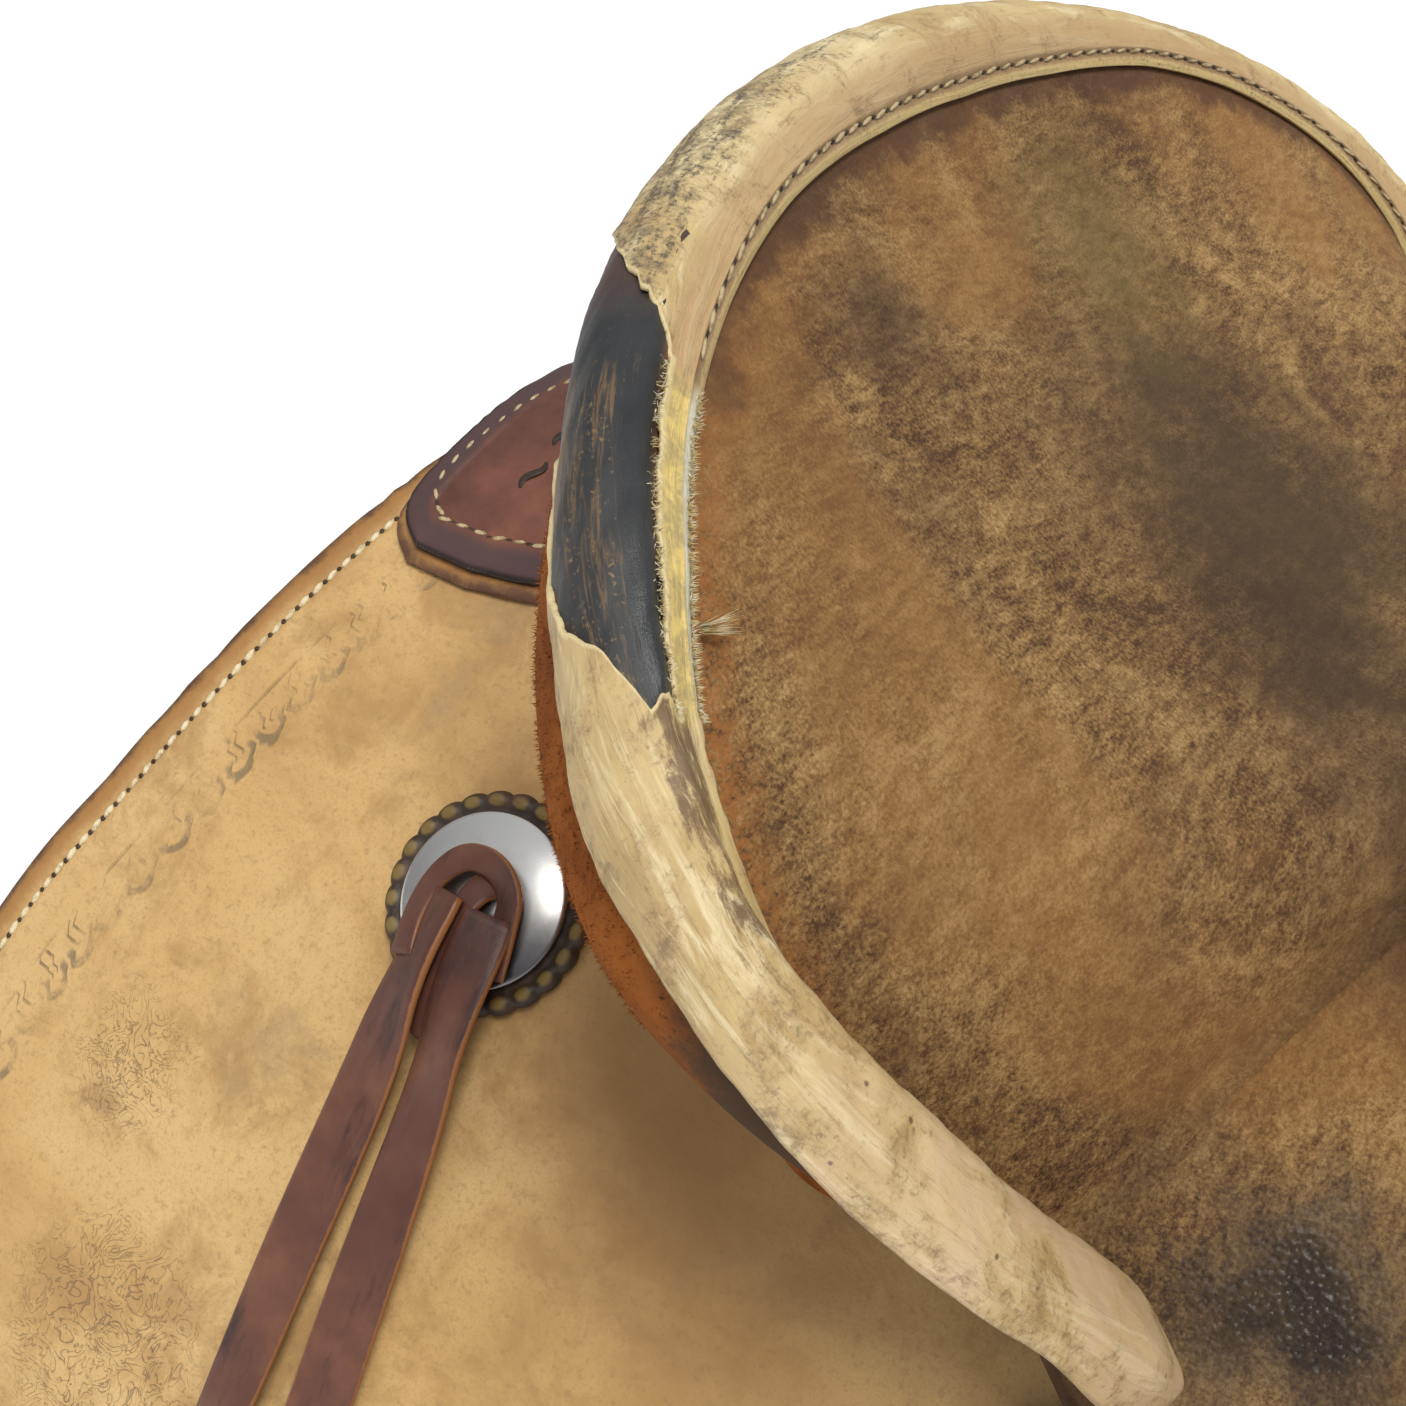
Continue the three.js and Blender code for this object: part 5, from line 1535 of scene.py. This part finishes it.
def bare_steel():
    f = Finish("bare_steel", 0.4, Metallic=1.0)
    rust = f.noise(70, 7, 0.7)
    base = f.mix(f.step(rust, 0.52, 0.68), (0.42, 0.41, 0.40), (0.16, 0.075, 0.035))
    return f.coat_of(base, ((rust, 0.15, 0.4),), f.times_plus(rust, 0.5, 0.15))


steel_finish = bare_steel()


def repaint(node, paint):
    """A frame part keeps its shape and gets its real finish."""
    part = bpy.data.objects[node]
    part.data.materials.clear()
    part.data.materials.append(paint)


for node in ("bar_right", "bar_left"):
    repaint(node, wood_finish)
for node in ("ground_seat", "horn_core"):
    repaint(node, steel_finish)

# ---------- swell cover ----------
# Wet-formed leather drawn over the wooden fork in one piece; it hugs every curve.
# A stitched row follows its arch on the front face and on the rear one.


def softened(node, name, paint, cell, passes, body="saddle", swell=0.0):
    """A frame part's shape with leather-soft corners: its copy is remeshed finely and relaxed."""
    copy = bpy.data.objects[node].data.copy()
    copy.name = name
    work = bmesh.new()
    work.from_mesh(copy)
    bmesh.ops.remove_doubles(work, verts=work.verts, dist=1e-5)
    work.to_mesh(copy)
    work.free()
    copy.materials.clear()
    piece = bpy.data.objects.new(name, copy)
    bpy.context.scene.collection.objects.link(piece)
    remesh = piece.modifiers.new("remesh", "REMESH")
    remesh.mode = "VOXEL"
    remesh.voxel_size = cell * mm
    relax = piece.modifiers.new("relax", "SMOOTH")
    relax.factor, relax.iterations = 0.5, passes
    if swell:
        fill = piece.modifiers.new("fill", "DISPLACE")
        fill.mid_level, fill.strength = 0, swell * mm
    graph = bpy.context.evaluated_depsgraph_get()
    done = bpy.data.meshes.new_from_object(piece.evaluated_get(graph))
    piece.modifiers.clear()
    piece.data = done
    done.materials.clear()
    done.materials.append(paint)
    done.polygons.foreach_set("use_smooth", [True] * len(done.polygons))
    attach(piece, body)
    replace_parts(piece, node)
    return piece


def saddle_tan():
    f = Finish("formed_tan_leather", 0.5, Specular_IOR_Level=0.45)
    wide = f.noise(14, 6, 0.62, distortion=0.5)
    mottle = f.noise(55, 7, 0.7, distortion=0.4)
    pore = f.noise(620, 5, 0.75)
    base = f.ramp(wide, (0.3, (0.33, 0.17, 0.055)), (0.5, (0.46, 0.26, 0.095)), (0.7, (0.55, 0.35, 0.15)))
    base = f.over(base, f.step(mottle, 0.45, 0.66), 0.65, (0.28, 0.14, 0.05))
    base = f.over(base, f.step(f.noise(24, 7, 0.7), 0.58, 0.72), 0.6, (0.11, 0.055, 0.025))
    scuff = f.step(f.noise(150, 9, 0.8, stretch=(0.4, 1, 1)), 0.62, 0.72)
    base = f.over(base, scuff, 0.6, (0.60, 0.43, 0.22))
    return f.coat_of(base, ((mottle, 0.6, 0.3), (pore, 0.16, 0.55)), f.times_plus(mottle, 0.35, 0.3))


tan_finish = saddle_tan()
softened("fork", "softened_fork", wood_finish, 2.4, 50)
softened("swell_cover", "formed_swell_cover", tan_finish, 2.4, 50, swell=1.2)
FORK_SHOULDER = [(118, -27), (128, -8), (142, 28), (146, 62), (134, 92), (98, 111), (44, 118), (0, 119)]
arch_half = spline_at(FORK_SHOULDER, np.linspace(0.1, 1, 160))
arch = np.vstack([arch_half * [-1, 1], arch_half[::-1]])
arch_out = unit(np.stack([np.gradient(arch[:, 1]), -np.gradient(arch[:, 0])], -1))
arch_out *= np.sign(((arch - [0, 50]) * arch_out).sum(1).mean())
for label, x, way in (("front", 271.2, 1), ("rear", 186.8, -1)):
    drawn_in = arch - arch_out * 9
    line = np.column_stack([np.full(len(arch), x), drawn_in])
    seam_stitches(
        f"swell_stitches_{label}", line, lambda share, way=way: np.tile(
            [float(way), 0, 0], (len(share), 1)
        ),
        gap=5.4, size=(4.0, 1.2, 0.9), sink=0.2, slot="skirt_leather",
    )

# ---------- horn ----------
# An iron post wrapped with a strip of mulehide, under a sewn leather cap.
# The wrap shows the ridges of the strip's turns, and the cap a row of stitches round its rim.
HORN_X, CAP_STITCH_RADIUS = 238, 42.4


def dark_hide():
    f = Finish("dark_mulehide", 0.5, Specular_IOR_Level=0.4)
    cloud = f.noise(50, 7, 0.7, distortion=0.4)
    rubbed = f.noise(140, 9, 0.8)
    base = f.ramp(
        cloud, (0.35, (0.05, 0.022, 0.012)), (0.6, (0.12, 0.055, 0.026)), (0.75, (0.19, 0.095, 0.045))
    )
    base = f.over(base, f.step(rubbed, 0.56, 0.68), 0.6, (0.26, 0.15, 0.075))
    return f.coat_of(
        base, ((cloud, 0.5, 0.4), (f.noise(900, 5, 0.75), 0.1, 0.6)), f.times_plus(rubbed, 0.5, 0.18)
    )


hide_finish = dark_hide()


def turned(name, profile, paint, node, turns=128, ripple_by=None):
    """A closed turned piece about the horn's axis; the profile runs round its own section."""
    angle = np.linspace(0, 2 * np.pi, turns, endpoint=False)
    p = np.asarray(profile, float)
    r, a = np.meshgrid(p[:, 0], angle, indexing="ij")
    z = np.tile(p[:, 1:2], (1, turns))
    if ripple_by is not None:
        r = r + ripple_by(a, z)
    verts = np.stack([HORN_X + r * np.cos(a), r * np.sin(a), z], -1).reshape(-1, 3)
    made = mesh_piece(
        name, verts, grid_faces(len(p), turns, wrap_rows=True, wrap_columns=True), paint
    )
    outward(made)
    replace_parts(made, node)
    return made


def wrap_ridges(a, z):
    ridge = np.where(z > 0, 0.8 * np.abs(np.sin((z - 136) / 29 * 9 + a / 2)) - 0.5, 0)
    return ridge * ((z > 137.5) & (z < 165))


outer_side = [(29.5, 124.4), (28.6, 128), (26.0, 132)]
outer_side += [(24 - 2.2 * math.sin(k / 40 * math.pi), 136.8 + 29 * k / 40) for k in range(41)]
inner_side = [(17.5, z) for z in np.linspace(165.8, 136.8, 12)] + [(22.6, 130.4), (26.4, 124.2)]
neck_profile = outer_side + inner_side
turned("horn_neck_wrap", neck_profile, hide_finish, "horn_wrap", ripple_by=wrap_ridges)
cap_profile = [
    (0.3, 182.8), (12, 182.6), (24, 181.6), (34, 179.6), (40, 177.6), (44.2, 175.4), (46, 172.6),
    (45.4, 169.8), (43, 168.0), (36, 167.4), (28, 167.6), (26.4, 169.4), (26.6, 171.6), (40.6, 171.7),
    (40.6, 177.3), (0.3, 177.4),
]
turned("horn_cap_cover", cap_profile, hide_finish, "horn_cap")
cap_turn = np.linspace(0, 2 * np.pi, 200)
cap_line = np.stack([
    HORN_X + CAP_STITCH_RADIUS * np.cos(cap_turn), CAP_STITCH_RADIUS * np.sin(cap_turn), np.full(
        200, 176.4
    ),
], -1)


def off_cap(share):
    a = share * 2 * np.pi
    return unit(np.stack([0.45 * np.cos(a), 0.45 * np.sin(a), np.ones_like(share)], -1))


seam_stitches(
    "horn_cap_stitches", cap_line, off_cap, gap=4.4, size=(3.3, 1.1, 0.8), sink=-0.1, slot="dark_leather",
)

# ---------- fenders and stirrup leathers ----------
# The fender is a wide hanging shield of skirting leather on a long doubled strap, the stirrup leather.
# The strap loops under the stirrup's bolt, and a buckled hobble strap holds its two plies together.
PIVOT_X, STIRRUP_Y, BOLT_Z, BOLT_RADIUS, STRAP = 85, 271, -462, 5.0, 64
FENDER_LIFT, FENDER_THICK, FENDER_INSET = 13.0, 3.4, 5.5
HOBBLE_Z, BUCKLE_HALF_LENGTH, BUCKLE_HALF_HEIGHT, BUCKLE_BAR = -424, 15, 11, 1.5
FENDER_WIDTH = [(0, 30), (0.16, 33), (0.34, 62), (0.55, 92), (0.75, 96), (0.9, 66), (1, 38)]


def hanging_path(h):
    """The leather's line seen from the front, over the skirt and then straight down."""
    points = [on_back(PIVOT_X, np.float64(-y), h)[1:] for y in (158, 178, 200, 222)]
    return np.array(points + [(-243 - h, -262), (-250 - h, -300), (-254 - h, -360), (-256 - h, -410)])


def hung(side, v, across, h):
    """A place on the fender: v down its length, across in millimetres from its middle, h off the skirt."""
    path = spline_at(hanging_path(FENDER_LIFT), v)
    thicker = spline_at(hanging_path(FENDER_LIFT + 1), v)
    p = path + (thicker - path) * (np.asarray(h)[..., None] - FENDER_LIFT)
    return np.stack([PIVOT_X + across, -side * p[..., 0], p[..., 1]], -1)


def fender_half(v):
    return spline_at(FENDER_WIDTH, v)[..., 1]


def rod(line, sideways, third, radius, turns):
    """Points of a round rod along a closed line."""
    turn = np.linspace(0, 2 * np.pi, turns, endpoint=False)
    sideways = sideways[:, None] * np.cos(turn)[None, :, None]
    third = third[:, None] * np.sin(turn)[None, :, None]
    return line[:, None] + radius * (sideways + third)


fender_line = spline_at(hanging_path(FENDER_LIFT), np.linspace(0, 1, 200))
fender_length = np.linalg.norm(np.diff(fender_line, axis=0), axis=1).sum()
for hand, side in (("right", -1), ("left", 1)):
    U, V = np.meshgrid(2 * bunched(90) - 1, bunched(170), indexing="ij")
    flat = np.stack([U * fender_half(V), V * fender_length], -1)
    edge_v = np.linspace(0, 1, 300)
    free_edge = np.vstack([
        np.stack([fender_half(edge_v), edge_v * fender_length], -1),
        np.stack([-fender_half(edge_v[::-1]), edge_v[::-1] * fender_length], -1),
    ])
    near, along = edge_distance(flat.reshape(-1, 2), np.vstack([free_edge, free_edge[:1]]))
    near = near.reshape(U.shape)
    rounding = 0.9 * np.clip(1 - near / 2, 0, 1) ** 2
    channel = 0.35 * np.exp(-(((near - FENDER_INSET) / 0.9) ** 2))
    ridge = 1.5 * ease(np.abs(flat[..., 0]), 38, 28)
    cup = 2.2 * (flat[..., 0] / 92) ** 2 * ease(V, 0.25, 0.5)
    face_lift = FENDER_LIFT + FENDER_THICK - rounding - channel + ridge * 0.5 + cup
    top = hung(side, V, flat[..., 0], face_lift)
    under = hung(side, V, flat[..., 0], FENDER_LIFT + 0.3 * ridge + cup)
    verts, faces = close_sheet(top, under)
    body = f"fender_{hand}"
    fender = mesh_piece(f"fender_leather_{hand}", verts, faces, skirt_finish, body)
    note(fender, "edge", np.tile(near.ravel() * mm, 2))
    note(fender, "along", np.tile(along * mm, 2))
    outward(fender)
    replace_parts(fender, f"fender_{hand}")

    ring = inset_line(free_edge, FENDER_INSET)
    ring_cup = 2.2 * (ring[:, 0] / 92) ** 2 * ease(ring[:, 1] / fender_length, 0.25, 0.5)
    line = hung(side, ring[:, 1] / fender_length, ring[:, 0], FENDER_LIFT + FENDER_THICK - 0.25 + ring_cup)

    def off_fender(share, side=side, ring=ring):
        v = np.interp(share, np.linspace(0, 1, len(ring)), ring[:, 1] / fender_length)
        a, b = hung(side, v, 0 * v, 0 * v + FENDER_LIFT), hung(side, v, 0 * v, 0 * v + FENDER_LIFT + 1)
        return unit(b - a)

    seam_stitches(
        f"fender_stitches_{hand}", line, off_fender, gap=5.2, size=(3.8, 1.3, 0.9), sink=0.0, body=body,
        slot="skirt_leather", thread=cream_thread,
    )

    # the doubled strap behind, closed round the bolt
    points = [tuple(p) for p in spline_at(hanging_path(10), np.linspace(0, 0.94, 60))]
    radius = BOLT_RADIUS + 1.6 + 1.7
    turn = np.linspace(0, np.pi, 14)
    loop = [(-STIRRUP_Y + radius * math.cos(a), BOLT_Z - radius * math.sin(a)) for a in turn]
    down = [(-STIRRUP_Y + 7, -432), (-STIRRUP_Y + radius, BOLT_Z + 6)]
    up_again = [(-STIRRUP_Y - radius, BOLT_Z + 10), (-STIRRUP_Y - radius, -440)]
    route = points + down + loop + up_again
    route = np.array([(PIVOT_X, -side * y, z) for y, z in route])
    across = np.tile([1.0, 0, 0], (len(route), 1))
    strap = strip(f"doubled_strap_{hand}", route, across, STRAP, 3.4, tan_finish, body)
    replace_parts(strap, f"stirrup_leather_{hand}")

    # hobble strap: a keeper round both plies with a small nickel buckle on its outer face
    softened(f"hobble_strap_{hand}", f"hobble_keeper_{hand}", hide_finish, 0.9, 4, body)
    outer_y = side * (STIRRUP_Y + 14.5)
    turn = np.linspace(0, 2 * np.pi, 48, endpoint=False)
    buckle_line = np.stack([
        PIVOT_X + BUCKLE_HALF_LENGTH * blunt(np.cos(turn), 0.45), np.full(48, outer_y + side * 1.8),
        HOBBLE_Z + BUCKLE_HALF_HEIGHT * blunt(np.sin(turn), 0.45),
    ], -1)
    ahead = unit(np.roll(buckle_line, -1, 0) - np.roll(buckle_line, 1, 0) + 1e-9)
    sideways = np.tile([0, 1.0, 0], (48, 1))
    tube = rod(buckle_line, sideways, unit(np.cross(ahead, sideways)), BUCKLE_BAR, 10)
    faces = grid_faces(48, 10, True, True)
    outward(mesh_piece(f"hobble_buckle_{hand}", tube.reshape(-1, 3), faces, nickel_finish, body))

# ---------- stirrups ----------
# Bent-wood stirrups, bound in metal along both edges, hang on a steel bolt through the leathers.
# The bolt is turned, with a low head at each end.
BAND_POINTS, BAND_Y, BOLT_TURNS = 160, 24, 40
STIRRUP_OUTER = [
    (-45, 12), (45, 12), (52, -30), (70, -96), (72, -118), (60, -128), (-60, -128), (-72, -118), (-70, -96),
    (-52, -30)
]


def stirrup_wood():
    f = Finish("stirrup_wood", 0.45, Specular_IOR_Level=0.4)
    grain = f.noise(60, 8, 0.7, distortion=1.5, stretch=(0.25, 1, 0.25))
    worn = f.noise(45, 7, 0.7)
    base = f.ramp(
        grain, (0.35, (0.20, 0.105, 0.042)), (0.6, (0.37, 0.215, 0.095)), (0.75, (0.46, 0.29, 0.14))
    )
    base = f.over(base, f.step(worn, 0.5, 0.68), 0.7, (0.10, 0.055, 0.027))
    return f.coat_of(base, ((grain, 0.3, 0.4), (worn, 0.4, 0.3)), f.times_plus(worn, 0.4, 0.25))


stirrup_finish = stirrup_wood()
for hand, side in (("right", -1), ("left", 1)):
    body = f"stirrup_{hand}"
    softened(body, f"bent_wood_stirrup_{hand}", stirrup_finish, 1.9, 7, body)
    bolt_end = [(0.3, 35), (3.2, 35), (5.6, 34.2), (6.4, 32.6), (6.4, 31.6), (BOLT_RADIUS - 0.05, 31.4)]
    profile = [(r, -along) for r, along in bolt_end] + bolt_end[::-1]
    turn = np.linspace(0, 2 * np.pi, BOLT_TURNS, endpoint=False)
    verts = [
        (PIVOT_X + along, side * STIRRUP_Y + r * math.cos(a), BOLT_Z + r * math.sin(a))
        for r, along in profile for a in turn
    ]
    faces = capped_tube(len(profile), BOLT_TURNS)
    bolt = mesh_piece(f"steel_bolt_{hand}", verts, faces, steel_finish, body)
    outward(bolt)
    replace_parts(bolt, f"stirrup_bolt_{hand}")
    outline = np.array(STIRRUP_OUTER[1:] + STIRRUP_OUTER[:1], float)
    band = spline_at(outline, np.linspace(0, 1, BAND_POINTS))
    grow = unit(band - np.array([0, -60.0]))
    for rim_label, offset in (("inner", -BAND_Y), ("outer", BAND_Y)):
        route = np.stack([
            PIVOT_X + band[:, 0] + grow[:, 0] * 0.1, np.full(BAND_POINTS, side * STIRRUP_Y + offset),
            BOLT_Z + band[:, 1] + grow[:, 1] * 0.1,
        ], -1)
        across = np.tile([0, 1.0, 0], (BAND_POINTS, 1))
        strip(f"stirrup_band_{rim_label}_{hand}", route, across, 9, 1.4, nickel_finish, body)

# ---------- rigging ----------
# Flat-plate rigging: a leather tab riveted to the skirt holds each forged ring by its straight bar.
# The ring turns in the tab's fold; three nickel rivets hold each tab.
RIGGING_SPOTS = {"front": (222, 196), "rear": (-150, 196)}
DEE_BAR, DEE_HEIGHT, HANGER_Y, DEE_POINTS, DEE_TURNS = 3.3, 9.2, 184, 120, 18
DEE = np.array([
    (-15, 0), (0, 0), (15, 0), (21, 5), (22, 14), (17, 26), (0, 33), (
        -17, 26
    ), (-22, 14), (-21, 5), (-15, 0),
], float)
for hand, side in (("right", -1), ("left", 1)):
    for place, (x, y) in RIGGING_SPOTS.items():
        tab = f"rigging_tab_{place}_{hand}"
        softened(f"rigging_leather_{place}_{hand}", tab, tan_finish, 0.9, 3)
        closed = np.vstack([DEE[-2:-1], DEE, DEE[1:2]])
        ring_flat = spline_at(closed, np.linspace(1 / 12, 11 / 12, DEE_POINTS, endpoint=False))
        ahead = unit(np.roll(ring_flat, -1, 0) - np.roll(ring_flat, 1, 0))
        out = np.stack([ahead[:, 1], -ahead[:, 0], np.zeros(DEE_POINTS)], -1)
        centre_line = np.hstack([ring_flat, np.zeros((DEE_POINTS, 1))])
        tube = rod(centre_line, out, np.tile([0, 0, 1.0], (DEE_POINTS, 1)), DEE_BAR, DEE_TURNS)
        verts = laid_on(tube.reshape(-1, 3), side, x, HANGER_Y, DEE_HEIGHT)
        name = f"rigging_ring_{place}_{hand}"
        faces = grid_faces(DEE_POINTS, DEE_TURNS, True, True)
        ring_piece = mesh_piece(f"forged_ring_{place}_{hand}", verts, faces, nickel_finish, name)
        outward(ring_piece)
        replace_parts(ring_piece, name)
        rivet_x, rivet_y = np.array([-18, 0, 18]) + x, np.array([-22.0, -24, -22]) + y
        at = on_back(rivet_x, side * rivet_y, np.full(3, 5.2))
        lift = back_normal(rivet_x, side * rivet_y)
        beads(
            stitch_tree, f"rivets_{place}_{hand}", at, np.tile([1.0, 0, 0], (3, 1)), lift, (7.5, 7.5, 2.4),
            nickel_finish, uneven=0.0,
        )

# ---------- floor and light ----------
# A pale floor, and one broad soft light from high up in front, at the off side.
# The room glows more from above than from below, and the camera sees it plain white.
floor_finish = Finish("pale_floor", 0.9).material
floor_finish.node_tree.nodes["Principled BSDF"].inputs["Base Color"].default_value = (0.93, 0.93, 0.93, 1)
floor_mesh = bpy.data.meshes.new("floor")
FLOOR_Z, FLOOR_HALF = -0.592, 30
floor_corners = [(x * FLOOR_HALF, y * FLOOR_HALF, FLOOR_Z) for x, y in ((-1, -1), (1, -1), (1, 1), (-1, 1))]
floor_mesh.from_pydata(floor_corners, [], [(0, 1, 2, 3)])
floor_mesh.materials.append(floor_finish)
floor = bpy.data.objects.new("floor", floor_mesh)
bpy.context.scene.collection.objects.link(floor)
key = bpy.data.objects.new("key_light", bpy.data.lights.new("key_light", "SUN"))
key.data.energy = 2.5
key.data.angle = math.radians(24)
key.data.color = (1, 0.985, 0.96)
key.rotation_euler = Vector((0.33, -0.36, 0.87)).to_track_quat("Z", "Y").to_euler()
bpy.context.scene.collection.objects.link(key)
world = bpy.data.worlds.new("studio")
world.use_nodes = True
room = world.node_tree
sky = room.nodes["Background"]
plain, choose = room.nodes.new("ShaderNodeBackground"), room.nodes.new("ShaderNodeMixShader")
where, part = room.nodes.new("ShaderNodeTexCoord"), room.nodes.new("ShaderNodeSeparateXYZ")
brighter = room.nodes.new("ShaderNodeMapRange")
seen = room.nodes.new("ShaderNodeLightPath")
room.links.new(where.outputs["Generated"], part.inputs[0])
room.links.new(part.outputs["Z"], brighter.inputs["Value"])
brighter.inputs["To Min"].default_value, brighter.inputs["To Max"].default_value = 0.24, 0.66
room.links.new(brighter.outputs["Result"], sky.inputs["Strength"])
sky.inputs["Color"].default_value = (0.97, 0.985, 1, 1)
plain.inputs["Color"].default_value = (1, 1, 1, 1)
room.links.new(seen.outputs["Is Camera Ray"], choose.inputs["Fac"])
room.links.new(sky.outputs[0], choose.inputs[1])
room.links.new(plain.outputs[0], choose.inputs[2])
room.links.new(choose.outputs[0], room.nodes["World Output"].inputs["Surface"])
bpy.context.scene.world = world
bpy.context.scene.view_settings.view_transform = "Standard"

bpy.context.view_layer.update()
